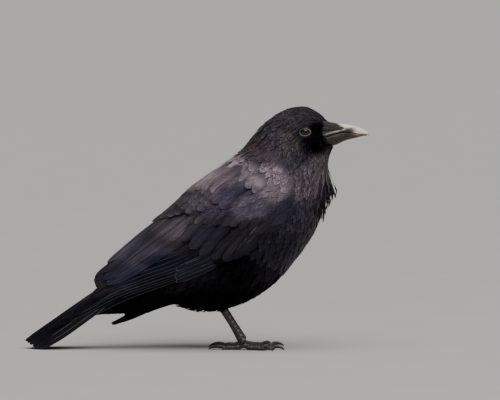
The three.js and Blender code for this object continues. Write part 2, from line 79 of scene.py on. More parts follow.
def through(points, t):
    """Points of a smooth curve through the given ones, at t from 0 to 1."""
    points = np.asarray(points, float)
    t = np.asarray(t, float)
    last = len(points) - 1
    place = np.clip(t, 0, 1) * last
    i = np.minimum(place.astype(int), last - 1)
    w = place - i
    beyond = t * last - place
    if points.ndim > 1:
        w = w[..., None]
        beyond = beyond[..., None]
    before, here = points[np.maximum(i - 1, 0)], points[i]
    after, later = points[i + 1], points[np.minimum(i + 2, last)]
    leave, reach = (after - before) / 2, (later - here) / 2
    curve = here + leave * w
    curve = curve + (3 * (after - here) - 2 * leave - reach) * w**2
    curve = curve + (2 * (here - after) + leave + reach) * w**3
    return curve + beyond * (after - here)


def unit(vectors):
    return vectors / np.linalg.norm(vectors, axis=-1, keepdims=True)


def course(points, t):
    """The unit way in which a curve runs at t."""
    return unit(through(points, t + NUDGE) - through(points, t - NUDGE))


def smooth(low, high, value):
    """0 below low, 1 above high and a soft step between them."""
    share = np.clip((value - low) / (high - low), 0, 1)
    return share * share * (3 - 2 * share)


def even(count):
    return np.linspace(0, 1, count)


print("the middle of a curve through 0, 1, 4 and 9:", through([0, 1, 4, 9], 0.5))

# %% [markdown]
# Feathers are rooted in a surface and lie along it, so each surface here can say where a place on it is,
# which way is out, and how far to move on it for a millimetre in some direction. A place is a pair: the
# share of the way along, and the turn round from the top, in radians, which is negative on the right.
# A mesh could carry them too, but its flat faces would show in the way the feathers lie.

# %% Surfaces that carry feathers
class Surface:
    def point(self, place):
        return self.at(place[..., 0], place[..., 1])

    def slopes(self, place):
        """How the point moves along and round the surface."""
        s, turn = place[..., 0], place[..., 1]
        along = (self.at(s + NUDGE, turn) - self.at(s - NUDGE, turn)) / (2 * NUDGE)
        around = (self.at(s, turn + NUDGE) - self.at(s, turn - NUDGE)) / (2 * NUDGE)
        return along, around

    def normal(self, place):
        along, around = self.slopes(place)
        return unit(np.cross(around, along))

    def step(self, slopes, way):
        """The change of place for each millimetre that way."""
        along, around = slopes
        aa, ar, rr = (along**2).sum(-1), (along * around).sum(-1), (around**2).sum(-1)
        wa, wr = (way * along).sum(-1), (way * around).sum(-1)
        spread = aa * rr - ar**2
        return np.stack([(rr * wa - ar * wr) / spread, (aa * wr - ar * wa) / spread], -1)


# %% [markdown]
# Two kinds of surface are enough for a bird. A shell hangs on rings, as a hull does on its frames, and serves
# for the body, the cape of the wings and the tufts behind. A limb runs along a line and serves for the legs.

# %% Shells and limbs
FIND_STEPS = 601  # how finely a shell is searched for a place seen from the side
FIND_REACH = (-0.1, 1.1)  # the search goes a little past both ends
FIND_HEIGHT = 0.8  # how far from the shell's middle a place may be seen, as a share of its height
THINNEST = 0.05  # the least radius of a limb


class Shell(Surface):
    """Hung on rings: top x and z, bottom x and z, and half width."""

    def __init__(self, rings):
        rings = np.array(rings, float)
        self.top, self.bottom, self.half = rings[:, 0:2], rings[:, 2:4], rings[:, 4]

    def at(self, s, turn):
        upper, lower = through(self.top, s), through(self.bottom, s)
        half = np.maximum(through(self.half, s), 1)
        side = (upper + lower) / 2 + (upper - lower) / 2 * np.cos(turn)[..., None]
        return np.stack([side[..., 0], half * np.sin(turn), side[..., 1]], -1)

    def find(self, seen, side):
        """The places seen from the side at points (x, z), on the given side of the bird."""
        s = np.linspace(*FIND_REACH, FIND_STEPS)
        upper, lower = through(self.top, s), through(self.bottom, s)
        arm = lower - upper
        seen = np.asarray(seen, float)
        x = seen[..., 0, None] - upper[:, 0]
        z = seen[..., 1, None] - upper[:, 1]
        off = arm[:, 0] * z - arm[:, 1] * x
        share = (x * arm[:, 0] + z * arm[:, 1]) / (arm**2).sum(-1)
        hit = (off[..., :-1] * off[..., 1:] <= 0) & (np.abs(share[..., :-1] - 0.5) < FIND_HEIGHT)
        i = hit.argmax(-1)[..., None]
        one, two = np.take_along_axis(off, i, -1), np.take_along_axis(off, i + 1, -1)
        w = one / (one - two)
        found = s[i] + w * (s[1] - s[0])
        down = (1 - w) * np.take_along_axis(share, i, -1) + w * np.take_along_axis(share, i + 1, -1)
        turn = side * np.arccos(np.clip(1 - 2 * down, -1, 1))
        return np.concatenate([found, turn], -1)


class Limb(Surface):
    """A rounded limb along a line, with radii fore and aft and sideways."""

    def __init__(self, line, fore, sideways, side=1):
        self.line = np.array(line, float) * (1, side, 1)
        self.fore, self.sideways = np.array(fore, float), np.array(sideways, float)

    def at(self, s, turn):
        forward = course(self.line, s)
        flank = unit(np.array([0.0, 1, 0]) - forward * forward[..., 1:2])
        front = np.cross(flank, forward)
        rise = (np.maximum(through(self.fore, s), THINNEST) * np.cos(turn))[..., None]
        out = (np.maximum(through(self.sideways, s), THINNEST) * np.sin(turn))[..., None]
        return through(self.line, s) + front * rise + flank * out


# %% [markdown]
# These are the frame's own measures, repeated here because the feathers need the surface itself and not
# only its solid. The body is a bent egg hung on twelve rings, and the folded wings make a cape over it.

# %% The bird's own surfaces
BODY_RINGS = [
    (146, 249.5, 152.5, 222.5, 9),  # bill root
    (134.8, 259.8, 148.5, 214.5, 14.5),  # lores
    (119.5, 266.4, 146, 204.5, 19),  # eye and crown
    (97.4, 262.2, 146.5, 191.5, 23),  # hind crown
    (73.4, 246, 145.5, 175.5, 28),  # nape
    (54, 222.8, 140.5, 156.5, 38),  # neck root
    (33, 198, 132.2, 131.5, 47),  # shoulders
    (1, 171, 114, 103, 51),  # mid back
    (-30, 139, 84, 69.5, 49),  # lower back
    (-58, 110, 45.5, 47, 41),  # rump
    (-80, 86, 3, 43.5, 29),  # vent
    (-101, 68, -28, 54, 17),  # tail root
]
WING_RINGS = [
    (72, 243, 147, 175, 29.5),  # hind neck
    (51, 219.5, 142, 155.5, 41.5),  # neck root
    (33.5, 206, 134, 130, 52.5),  # bend of the wing
    (1, 181.8, 114, 101, 57.5),  # scapulars
    (-32, 151.2, 80, 68, 57),  # greater coverts
    (-61, 128, 37, 45, 51.5),  # tertials
    (-87, 105.5, -5, 34, 42),  # secondaries
    (-111, 84.5, -45, 24, 32.5),  # wing end
    (-132, 62, -80, 14, 25),  # past the end
    (-160, 40, -118, 2, 24),  # primaries
    (-190, 18, -150, -8, 22),  # primary tips
]
UNDERTAIL_RINGS = [
    (-24, 66, -8, 52, 26),  # vent
    (-50, 69, -42, 47, 22),  # root
    (-78, 60, -72, 39.5, 17),  # middle
    (-104, 46, -104, 37.5, 11),  # end
    (-118, 37, -118.5, 35, 3),  # tip
]
PLUME_RINGS = [
    (-22, 62, -4, 44, 24),  # vent
    (-38, 62, -22, 48.5, 20),  # root
    (-54, 52, -46, 42, 13),  # middle
    (-72, 39.5, -68, 33, 7.5),  # plume
    (-97.5, 25, -97, 24, 1.2),  # tip
]
THIGH = {
    "line": [(44, 30, 84), (35, 27, 64), (28, 24.5, 50), (25.5, 23.3, 42)],
    "fore": [17, 14, 8.5, 5.2],
    "sideways": [13, 11, 7, 4.6],
}
body, wings = Shell(BODY_RINGS), Shell(WING_RINGS)
undertail, plume = Shell(UNDERTAIL_RINGS), Shell(PLUME_RINGS)
thighs = {name: Limb(**THIGH, side=side) for name, side in SIDES.items()}
print("rings: body", len(BODY_RINGS), "wings", len(WING_RINGS))

# %% [markdown]
# The folded wing covers part of the body. Its outline from the side says which feathers lie under it, and
# those are left out: nobody would see them, and some would push through the wing.

# %% The wing's outline
WING_EDGE = [  # the folded wing from the side: bend, leading edge, lower edge and rear end
    (46, 225), (62, 214), (84, 199), (98, 184), (99.5, 174), (92, 158), (82, 136), (66, 113), (46, 99),
    (22, 93.5), (0, 86), (-20, 78), (-50, 67), (-80, 57), (-97, 57.5), (-108, 64), (-113.5, 74),
    (-113, 84), (-118, 100), (-60, 160), (10, 215),
]


def inside(outline, x, z):
    """True for the points of the side view that lie within an outline."""
    found = np.zeros(np.shape(x), bool)
    for (x1, z1), (x2, z2) in zip(outline, outline[1:] + outline[:1]):
        spans = (z1 > z) != (z2 > z)
        if z1 != z2:
            found ^= spans & (x < (x2 - x1) * (z - z1) / (z2 - z1) + x1)
    return found


print("the wing covers the shoulder:", bool(inside(WING_EDGE, 70, 190)))

# %% [markdown]
# A material here is a small network of nodes. Writing its sums as ordinary Python keeps it readable, so one
# small class wraps a socket and lets + - * ** add the Math nodes.

# %% Shader maths
class Value:
    """What comes out of a node. Sums on it add Math nodes."""

    def __init__(self, finish, socket):
        self.finish, self.socket = finish, socket

    def math(self, operation, *values):
        return self.finish.node("ShaderNodeMath", {"operation": operation}, dict(enumerate(values)))

    def __add__(self, other):
        return self.math("ADD", self, other)

    def __radd__(self, other):
        return self.math("ADD", other, self)

    def __sub__(self, other):
        return self.math("SUBTRACT", self, other)

    def __rsub__(self, other):
        return self.math("SUBTRACT", other, self)

    def __mul__(self, other):
        return self.math("MULTIPLY", self, other)

    def __rmul__(self, other):
        return self.math("MULTIPLY", other, self)

    def __pow__(self, other):
        return self.math("POWER", self, other)

    def __abs__(self):
        return self.math("ABSOLUTE", self)

    def most(self, other):
        return self.math("MAXIMUM", self, other)

    def step(self, low, high):
        """0 at low, 1 at high, and a soft step between them."""
        inputs = {"Value": self, "From Min": low, "From Max": high}
        return self.finish.node("ShaderNodeMapRange", {"interpolation_type": "SMOOTHSTEP"}, inputs)


# %% [markdown]
# A finish is a material being made. It could be put together by hand in the node editor, but written down it
# can be read and changed. One method adds any node, first its settings and then its values or links, and the
# others are short names for the nodes that are used again and again.

# %% Finishes
class Finish:
    """A material under construction."""

    def __init__(self, name):
        self.material = bpy.data.materials.new(name)
        self.material.use_nodes = True
        self.tree = self.material.node_tree
        self.shader = self.tree.nodes["Principled BSDF"]

    def put(self, socket, value):
        if isinstance(value, Value):
            self.tree.links.new(value.socket, socket)
        elif socket.type == "RGBA" and len(value) == 3:
            socket.default_value = (*value, 1)
        else:
            socket.default_value = value

    def node(self, kind, settings=None, inputs=None, output=0):
        made = self.tree.nodes.new(kind)
        settings = dict(settings or {})
        stops = settings.pop("stops", None)
        for key, value in settings.items():
            setattr(made, key, value)
        if stops:
            ramp = made.color_ramp.elements
            while len(ramp) < len(stops):
                ramp.new(1)
            for element, (place, colour) in zip(ramp, stops):
                element.position = place
                element.color = (*colour, 1)
        for key, value in (inputs or {}).items():
            self.put(made.inputs[key], value)
        return Value(self, made.outputs[output])

    def mix(self, factor, first, second):
        """Colour first where factor is 0 and second where it is 1."""
        return self.node("ShaderNodeMix", {"data_type": "RGBA"}, {0: factor, 6: first, 7: second}, 2)

    def ramp(self, factor, stops):
        return self.node("ShaderNodeValToRGB", {"stops": stops}, {"Fac": factor})

    def vector(self, operation, *values, output=0):
        return self.node("ShaderNodeVectorMath", {"operation": operation}, dict(enumerate(values)), output)

    def scaled(self, vector, factor):
        return self.node("ShaderNodeVectorMath", {"operation": "SCALE"}, {0: vector, "Scale": factor})

    def kept(self, name):
        """A number kept on the mesh under a name."""
        return self.node("ShaderNodeAttribute", {"attribute_name": name}, None, "Fac")

    def split(self, vector):
        return [self.node("ShaderNodeSeparateXYZ", None, {0: vector}, i) for i in range(3)]

    def join(self, x, y, z):
        return self.node("ShaderNodeCombineXYZ", None, {0: x, 1: y, 2: z})

    def place(self):
        """The point on the bird in millimetres."""
        return self.scaled(self.node("ShaderNodeTexCoord", None, None, "Object"), 1 / MM)

    def noise(self, vector, scale=1.0, detail=3, rough=0.55):
        """Cloudy noise about 0.5. The scale, one number or one each way, is in features to a unit."""
        if np.ndim(scale):
            vector, scale = self.vector("MULTIPLY", vector, scale), 1.0
        inputs = {"Vector": vector, "Scale": scale, "Detail": detail, "Roughness": rough}
        return self.node("ShaderNodeTexNoise", None, inputs)

    def bump(self, height, depth, strength):
        """A normal for a relief of the given depth in millimetres."""
        inputs = {"Height": height, "Distance": depth * MM, "Strength": strength}
        return self.node("ShaderNodeBump", None, inputs)

    def feed(self, inputs):
        for name, value in inputs.items():
            self.put(self.shader.inputs[name], value)
        return self.material


# %% [markdown]
# A crow is black, but not evenly. Its plumage goes from brownish on the nape and neck, through grey violet on
# the mantle and shoulder, to blue on the wing, and it is soot black on the lores. The spots also hold painted
# light: the mantle's ridge and front, the shoulder and the bend of the wing are painted paler as a highlight
# from the sky above, and the black of the breast is painted darker downwards as painted shade, to near black
# on the flank, belly and vent. A painted map could show this, but it needs an unwrapping and has seams. Soft
# spots of colour over the place on the bird say it once, and skin and coat both read them, so they never
# differ.

# %% Markings and painted light of the plumage
PLUMAGE = (0.022, 0.018, 0.023)
SPOTS_AND_PAINTED_LIGHT = [  # place on the left side, reach and colour, each laid over those before it
    # painted shade: the belly, vent, flank and lower breast are painted darker than the crow's own black,
    # where the light from above leaves the underside
    ((30, 20, 50), (75, 60, 36), (0.0015, 0.0015, 0.0018)),  # belly
    ((-45, 15, 48), (60, 40, 24), (0.0010, 0.0010, 0.0012)),  # vent
    ((49, 48, 90), (36, 24, 26), (0.0030, 0.0030, 0.0040)),  # flank
    ((90, 40, 114), (34, 50, 26), (0.0085, 0.0076, 0.0132)),  # lower breast
    ((108, 40, 150), (34, 50, 28), (0.0250, 0.0210, 0.0320)),  # breast
    ((124, 30, 182), (30, 46, 24), (0.0920, 0.0660, 0.0800)),  # upper breast
    ((141, 12, 200), (22, 30, 20), (0.1050, 0.0840, 0.0900)),  # throat
    ((70, 28, 218), (30, 40, 26), (0.0345, 0.0205, 0.0215)),  # nape
    ((86, 20, 240), (26, 34, 22), (0.0300, 0.0200, 0.0230)),  # hind crown
    ((113, 12, 257), (28, 24, 16), (0.0360, 0.0290, 0.0340)),  # crown
    ((101, 24, 226), (18, 20, 18), (0.0540, 0.0450, 0.0400)),  # cheek
    ((134, 14, 241), (15, 18, 10), (0.0005, 0.0005, 0.0005)),  # lores
    ((129, 16, 225), (19, 30, 15), (0.0004, 0.0004, 0.0004)),  # chin and below the eye
    # painted highlight: the mantle's ridge and front, the shoulder and the bend of the wing are painted paler
    # where the sky above lights them, over the plumage's own grey violet
    ((28, 10, 194), (44, 34, 26), (0.2500, 0.1820, 0.2090)),  # mantle ridge
    ((33, 45, 183), (30, 26, 22), (0.0980, 0.0720, 0.0910)),  # mantle
    ((66, 34, 196), (30, 26, 14), (0.1450, 0.1090, 0.1280)),  # front of the mantle
    ((82, 48, 186), (30, 28, 20), (0.1950, 0.1400, 0.1620)),  # shoulder
    ((76, 26, 219), (26, 40, 17), (0.0350, 0.0220, 0.0240)),  # side of the nape
    ((85, 55, 175), (14, 24, 15), (0.1500, 0.1140, 0.1360)),  # bend of the wing
    ((61, 56, 175), (14, 16, 10), (0.0720, 0.0550, 0.0700)),  # front scapulars
    ((38, 56, 172), (26, 16, 18), (0.0400, 0.0340, 0.0570)),  # scapulars
    ((-4, 48, 164), (24, 30, 15), (0.0560, 0.0450, 0.0580)),  # outer scapulars
    ((13, 57, 156), (26, 16, 12), (0.0440, 0.0350, 0.0540)),  # lower scapulars
    ((-24, 50, 136), (34, 40, 18), (0.0780, 0.0620, 0.0730)),  # rear scapulars
    ((59, 57, 157), (25, 16, 15), (0.0800, 0.0650, 0.0890)),  # lesser coverts
    ((10, 58, 125), (34, 16, 24), (0.0180, 0.0150, 0.0240)),  # greater coverts
    ((0, 54, 90), (26, 16, 18), (0.0085, 0.0083, 0.0160)),  # primary coverts
    ((-64, 40, 104), (46, 46, 22), (0.0460, 0.0400, 0.0560)),  # tertials
    ((-38, 48, 97), (42, 20, 12), (0.0105, 0.0102, 0.0250)),  # inner secondaries
    ((-83, 34, 82), (36, 34, 16), (0.0210, 0.0200, 0.0350)),  # wing end
    ((-50, 46, 74), (44, 20, 16), (0.0030, 0.0030, 0.0070)),  # secondaries
    ((-85, 34, 52), (60, 24, 14), (0.0020, 0.0020, 0.0024)),  # primaries
    ((-150, 20, 26), (82, 34, 36), (0.0030, 0.0029, 0.0042)),  # tail
]
FULL, GONE = 0.45, 1.2  # where in its reach a spot begins to fade, and where it has gone
DRIFT = 0.5  # how far a slow noise moves its border


def plumage(finish):
    """The colour of the plumage at each point of the bird, with its painted highlight and shade, the same on
    its left and right.
    """
    x, y, z = finish.split(finish.place())
    point = finish.join(x, abs(y), z)
    drift = finish.noise(point, 0.03, 2) - 0.5
    colour = PLUMAGE
    for place, reach, paint in SPOTS_AND_PAINTED_LIGHT:
        offset = finish.vector("DIVIDE", finish.vector("SUBTRACT", point, place), reach)
        far = finish.vector("LENGTH", offset, output="Value") + drift * DRIFT
        colour = finish.mix(1 - far.step(FULL, GONE), colour, paint)
    return colour


print("spots of colour:", len(SPOTS_AND_PAINTED_LIGHT))


# %% [markdown]
# A feather's finish has four parts: the plumage colour, a tone of its own, a pale rim, and the barbs,
# which run slantwise from the shaft and part here and there. The rim is wear, and on the stiff quills it is
# also a painted highlight along the edge. The covered part towards the root and the sides of a cupped vane
# are darkened as painted shade. Real barbs would take millions of faces, so they are a fine relief that
# catches light in streaks. The gloss is tinted blue violet, which is what makes a black bird look rich and
# not sooty.

# %% Feather finishes
def feather_finish(name, colour=None, barbs=34, slant=9, rim=0.35, edge=0.6, end=0.84, pale=None, rough=0.5,
                   gloss=0.2, shaft=0.0, streak=0.5, folds=0.0, valley_shade=0.0, tone_reach=0.45, shade=0.5,
                   tint=(0.72, 0.70, 1.0), sheen=0.05):
    """colour is a flat paint, or None for the plumage. shade is the strength of a painted shade on the
    covered part towards the root. The pale border, wear that is also a painted highlight on the stiff quills,
    starts at the shares edge of the width and end of the length, or fades out before the tip if end is None.
    pale is its paint, or None for a paler plumage. folds is how strongly the vane is streaked lengthwise, and
    valley how much darker its sides are than its middle, as a painted shade of a hollow."""
    finish = Finish(name)
    vane = finish.node("ShaderNodeUVMap", {"uv_map": "Vane"})
    u, v, _ = finish.split(vane)
    tone = finish.kept("tone")
    side = abs(u * 2 - 1)
    barb = v * barbs - side * slant
    seed = tone * 61
    strands = finish.noise(finish.join(barb, side * 1.5, seed), detail=2, rough=0.6).step(0.2, 0.8)
    parts = finish.noise(finish.join(barb * 0.22, side * 0.6, seed + 7), detail=3, rough=0.7).step(0.25, 0.75)
    pleats = finish.noise(finish.join(u * 8, v * 0.9, seed + 3), detail=2, rough=0.6).step(0.3, 0.7)
    border = side.step(edge, 1.0)
    border = border.most(v.step(end, 1.0)) if end else border * (1 - v.step(0.8, 0.92))
    paint = colour or plumage(finish)
    depth = tone * tone_reach + (1 - tone_reach / 2)
    # painted shade: the sides of the vane are painted darker than its middle, as in a hollow
    depth = depth * ((pleats - 0.5) * folds + 1) * (1 - (side.step(0.2, 1.0) - 0.3) * valley_shade)
    depth = depth * ((strands - 0.5) * streak + 1) * ((parts - 0.5) * streak * 1.6 + 1)
    # painted shade: the covered part towards the root is painted darker, as under the feather above
    depth = depth * (v.step(0.25, 0.9) * shade + (1 - shade))
    vane_colour = finish.scaled(paint, depth)
    # the pale border is wear on the body feathers; on the stiff quills its fixed pale paint is also a painted
    # highlight along the edge
    wear_and_highlight = pale or finish.vector("MULTIPLY_ADD", vane_colour, (2.3, 2.1, 2.05), (0.003, 0.0026, 0.0026))
    vane_colour = finish.mix(border * rim, vane_colour, wear_and_highlight)
    if shaft:
        spine = 1 - side.step(0.02, 0.09)
        vane_colour = finish.mix(spine * shaft, vane_colour, (0.004, 0.004, 0.005))
    return finish.feed({
        "Base Color": vane_colour,
        "Roughness": (strands - 0.5) * 0.3 + rough,
        "Normal": finish.bump(strands * 0.6 + parts * 0.7, 0.28, 0.7),
        "Specular IOR Level": gloss,
        "Specular Tint": tint,
        "Sheen Weight": sheen,
        "Sheen Roughness": 0.45,
        "Sheen Tint": (0.62, 0.58, 0.72),
    })


# %% [markdown]
# One feather is a long closed leaf: a few strips across its upper side, one line of points beneath, and a
# cap at each end. It starts as a tube, which is cut across, so Blender's own operators make all of its faces.
# Each point is then known by its share across, from -1 to 1, and its share along, from root to tip. A flat
# card would be lighter, but it has no edge of its own and looks like paper from the side.

# %% One feather's shape
class Leaf:
    def __init__(self, across, stations):
        """across lists the points over the upper side; stations lists the shares along."""
        ring, cuts = len(across) + 1, len(stations) - 2
        bm = bmesh.new()
        bmesh.ops.create_cone(bm, cap_ends=True, segments=ring, radius1=1, radius2=1, depth=1)
        long_edges = [e for e in bm.edges if abs(e.verts[0].co.z - e.verts[1].co.z) > 0.5]
        bmesh.ops.subdivide_edges(bm, edges=long_edges, cuts=cuts, use_grid_fill=True)
        across, stations = np.array(across, float), np.array(stations, float)
        self.station = np.array([round((v.co.z + 0.5) * (cuts + 1)) for v in bm.verts])
        turns = np.array([math.atan2(v.co.y, v.co.x) for v in bm.verts])
        column = np.round(turns / (2 * math.pi) * ring).astype(int) % ring
        self.beneath = column == len(across)
        self.u = np.where(self.beneath, 0, across[np.minimum(column, len(across) - 1)])
        self.v = stations[self.station]
        self.stations = stations
        for vert, u, v, low in zip(bm.verts, self.u, self.v, self.beneath):
            vert.co = (u, v, -0.1 * low)
        bmesh.ops.recalc_face_normals(bm, faces=bm.faces[:])
        self.sizes = np.array([len(f.verts) for f in bm.faces])
        self.corners = np.array([v.index for f in bm.faces for v in f.verts])
        bm.free()


SMALL_LEAF = Leaf([-1, -0.5, 0, 0.5, 1], [0, 0.25, 0.5, 0.72, 0.88, 1])
BODY_LEAF = Leaf([-1, -0.6, 0, 0.6, 1], [0, 0.2, 0.4, 0.58, 0.74, 0.88, 1])
COVERT_LEAF = Leaf([-1, -0.7, -0.35, 0, 0.35, 0.7, 1], [0, 0.15, 0.3, 0.45, 0.58, 0.7, 0.8, 0.89, 0.96, 1])
QUILL_LEAF = Leaf([-1, -0.75, -0.45, -0.15, -0.06, 0, 0.06, 0.15, 0.45, 0.75, 1], 1 - (1 - even(30)) ** 1.5)
print("body feather:", len(BODY_LEAF.sizes), "faces; quill:", len(QUILL_LEAF.sizes), "faces")

# %% [markdown]
# Feathers grow in staggered rows. Each row here starts where the last one did, moved on by the same distance
# all the way round, so that the rows stay evenly spaced over the breast's swell and the nape's hollow. A
# plain scatter is quicker to write, but it leaves clumps and bald spots.

# %% Staggered rows
RING_POINTS = 241  # how finely a row is measured
MOST_ROWS = 400
STRAY_ROUND, STRAY_ALONG = 0.12, 0.0008  # how far a root strays, in gaps round and in shares along


def rows(surface, first, last, along, around, rng, turns=(-math.pi, math.pi)):
    """Root places from share first to share last. along and around are spacings in mm, or curves of them."""
    turn = np.linspace(*turns, RING_POINTS)
    s = np.full(len(turn), float(first))
    places = []
    while s.min() < last and len(places) < MOST_ROWS:
        ring = surface.at(s, turn)
        run = np.concatenate([[0], np.cumsum(np.linalg.norm(np.diff(ring, axis=0), axis=1))])
        gap = float(through(around, (s.mean() - first) / (last - first))) if np.ndim(around) else around
        count = max(int(run[-1] / gap), 3)
        stagger = 0.5 * (len(places) % 2) + 0.25
        marks = (np.arange(count) + stagger + rng.normal(0, STRAY_ROUND, count)) * run[-1] / count
        at_s = np.interp(marks, run, s) + rng.normal(0, STRAY_ALONG, count)
        places.append(np.stack([at_s, np.interp(marks, run, turn)], -1))
        share = (s - first) / (last - first)
        pace = through(along, np.clip(share, 0, 1)) if np.ndim(along) else along
        s = s + pace / np.linalg.norm(surface.slopes(np.stack([s, turn], -1))[0], axis=-1)
    places = np.concatenate(places)
    return places[places[:, 0] < last]


def share_along(places, first, last):
    """How far each place lies along a stretch of a surface, from 0 to 1."""
    return np.clip((places[:, 0] - first) / (last - first), 0, 1)


print("roots in a band round the breast:", len(rows(body, 0.5, 0.6, 5, 6, np.random.default_rng(0))))

# %% [markdown]
# A tract of feathers becomes one mesh, since an object for every feather would be slow to draw and to save.
# The mesh keeps what the finishes ask for: where a point lies on its vane, the tone of its feather, and the
# small patch that the feather has on the bake map.

# %% Joining feathers into a mesh
CREASE = 70  # degrees at which a feather's edge is drawn sharp


def joined(name, laid):
    """One mesh of feathers: for each lot its leaf, points, tones and bake patches."""
    points, corners, sizes, vane, bake, tone, used = [], [], [], [], [], [], 0
    for leaf, placed, tones, patch in laid:
        count, size = placed.shape[:2]
        points.append(placed.reshape(-1, 3))
        starts = used + np.arange(count)[:, None] * size
        corners.append((starts + leaf.corners).ravel())
        sizes.append(np.tile(leaf.sizes, count))
        spot = np.stack([leaf.u / 2 + 0.5, leaf.v], -1)
        vane.append(np.tile(spot[leaf.corners], (count, 1)))
        bake.append(patch[:, leaf.corners].reshape(-1, 2))
        tone.append(np.repeat(tones, size))
        used += count * size
    points, corners, sizes = map(np.concatenate, (points, corners, sizes))
    mesh = bpy.data.meshes.new(name)
    mesh.vertices.add(len(points))
    mesh.vertices.foreach_set("co", (points * MM).astype(np.float32).ravel())
    mesh.loops.add(len(corners))
    mesh.loops.foreach_set("vertex_index", corners.astype(np.int32))
    mesh.polygons.add(len(sizes))
    mesh.polygons.foreach_set("loop_start", (np.cumsum(sizes) - sizes).astype(np.int32))
    mesh.update(calc_edges=True)
    for layer_name, values in (("Vane", vane), ("OFBake", bake)):
        layer = mesh.uv_layers.new(name=layer_name)
        layer.data.foreach_set("uv", np.concatenate(values).astype(np.float32).ravel())
    tones = mesh.attributes.new("tone", "FLOAT", "POINT")
    tones.data.foreach_set("value", np.concatenate(tone).astype(np.float32))
    mesh.polygons.foreach_set("use_smooth", np.ones(len(sizes), bool))
    mesh.set_sharp_from_angle(angle=math.radians(CREASE))
    feathers = sum(len(placed) for _, placed, _, _ in laid)
    print(f"{name}: {feathers} feathers, {(sizes - 2).sum()} triangles")
    return mesh


def finished(piece, slot, material, *nodes):
    """Hands a piece over to the frame: it rides on the bird and stands for the nodes."""
    bpy.context.scene.collection.objects.link(piece)
    piece.data.materials.clear()
    piece.data.materials.append(material)
    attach(piece, BODY)
    if nodes:
        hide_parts(*nodes)


# %% [markdown]
# A form says how a leaf becomes a feather of some kind. Laying it works out a line of places from root to
# tip, steps sideways for its width, and lifts each point off the surface by its height. Chance is drawn from
# a numbered start for each tract, so that the coat comes out the same on every run.

# %% Laying feathers on a surface
PATCH = 0.003  # the width of one feather's patch on the bake map
BAKE_REACH, BAKE_START = (0.8, 0.9 / (2 * math.pi)), (0.1, 0.5)  # from a root's place to the bake map
SWAY = {"width": 0.06, "height": 0.12, "tilt": 0.5}  # how much one feather differs from the next
FORM = {
    "widths": [0.35, 0.75, 1, 1, 0.55],  # along the feather, as shares of the half width
    "bow": 0.55,  # how far the tip's sides stand back, in half widths
    "bow_from": 3,  # the higher, the nearer to the tip the bow begins
    "sink": 2.0,  # the depth of the root, in mm
    "lift": 0.2,  # the height of the tip
    "rise": 0.8,  # the higher, the later it rises
    "cup": 0.12,  # how much higher the middle is than the sides
    "tilt": 0.1,  # how much higher one side is than the other
    "thick": 0.18,
    "ridge": 0.0,  # the height of the shaft
    "uneven": 0.0,  # how much wider one vane is than the other
    "ragged": 0.0,  # how far the tip is frayed
    "curl": 0.0,  # how far the tip bends up
}


class Coat:
    """Gathers feathers of one tract and makes them one mesh."""

    def __init__(self, name, number):
        self.name, self.rng, self.laid = name, np.random.default_rng(number), []

    def aim(self, surface, root, length, heading=0.0, sway=4.0):
        """Tip places for feathers of the given lengths that follow the lie of the coat."""
        slopes = surface.slopes(root)
        along = unit(slopes[0])
        out = unit(np.cross(slopes[1], slopes[0]))
        across = np.cross(along, out)
        turn = np.radians(heading + self.rng.normal(0, sway, len(root)))[:, None]
        way = along * np.cos(turn) + across * np.sin(turn)
        return root + surface.step(slopes, way) * np.broadcast_to(length, len(root))[:, None]

    def lay(self, surface, root, tip, half, leaf=BODY_LEAF, **form):
        form = {**FORM, **form}
        rng, count = self.rng, len(root)
        sway = lambda kind: rng.normal(0, SWAY[kind], count)[:, None]
        half = np.broadcast_to(half, count)[:, None] * (1 + sway("width"))
        line = tip - root
        centre = root[:, None] + line[:, None] * leaf.stations[:, None]
        slopes = surface.slopes(centre)
        out = unit(np.cross(slopes[1], slopes[0]))
        forward = unit(slopes[0] * line[:, None, :1] + slopes[1] * line[:, None, 1:])
        across = np.cross(forward, out)
        sideways = surface.step(slopes, across)[:, leaf.station]
        onward = surface.step(slopes, forward)[:, leaf.station]
        u, v = leaf.u, leaf.v
        width = half * through(form["widths"], v)
        width = width * (1 + form["uneven"] * np.sign(u))
        back = form["bow"] * half * u**2 * v ** form["bow_from"]
        if form["ragged"]:  # the underside stays behind the frayed tip
            fray = np.where(leaf.beneath, 1.1, rng.random((count, len(u))))
            back = back + fray * form["ragged"] * half * v**4
        place = centre[:, leaf.station] + sideways * (u * width)[..., None] - onward * back[..., None]
        sink, lift = (np.broadcast_to(form[key], count)[:, None] for key in ("sink", "lift"))
        height = -sink + (sink + lift + sway("height")) * v ** form["rise"]
        height = height + form["cup"] * width * (1 - u**2) + form["tilt"] * width * u * (1 + sway("tilt"))
        height = height + form["ridge"] * (u == 0) * (1 - 0.8 * v) + form["curl"] * half * v**4
        height = height - leaf.beneath * form["thick"] * (1 + form["cup"])
        points = surface.point(place) + surface.normal(place) * height[..., None]
        patch = np.stack([u / 2, v - 0.5], -1) * PATCH
        unwrap = root * BAKE_REACH + BAKE_START
        self.laid.append((leaf, points, rng.random(count), unwrap[:, None] + patch))

    def build(self, slot, material, *nodes):
        feathers = bpy.data.objects.new(self.name, joined(self.name, self.laid))
        finished(feathers, slot, material, *nodes)


# %% [markdown]
# Under the feathers is one skin. It is made from copies of the frame's flesh: their loose triangles are
# merged, and a voxel remesh melts them into one closed surface. A boolean union would keep a sharp crease
# where two of them meet, and the melt leaves none. The wings' own plates are melted in too, so that no light
# shines between vanes.

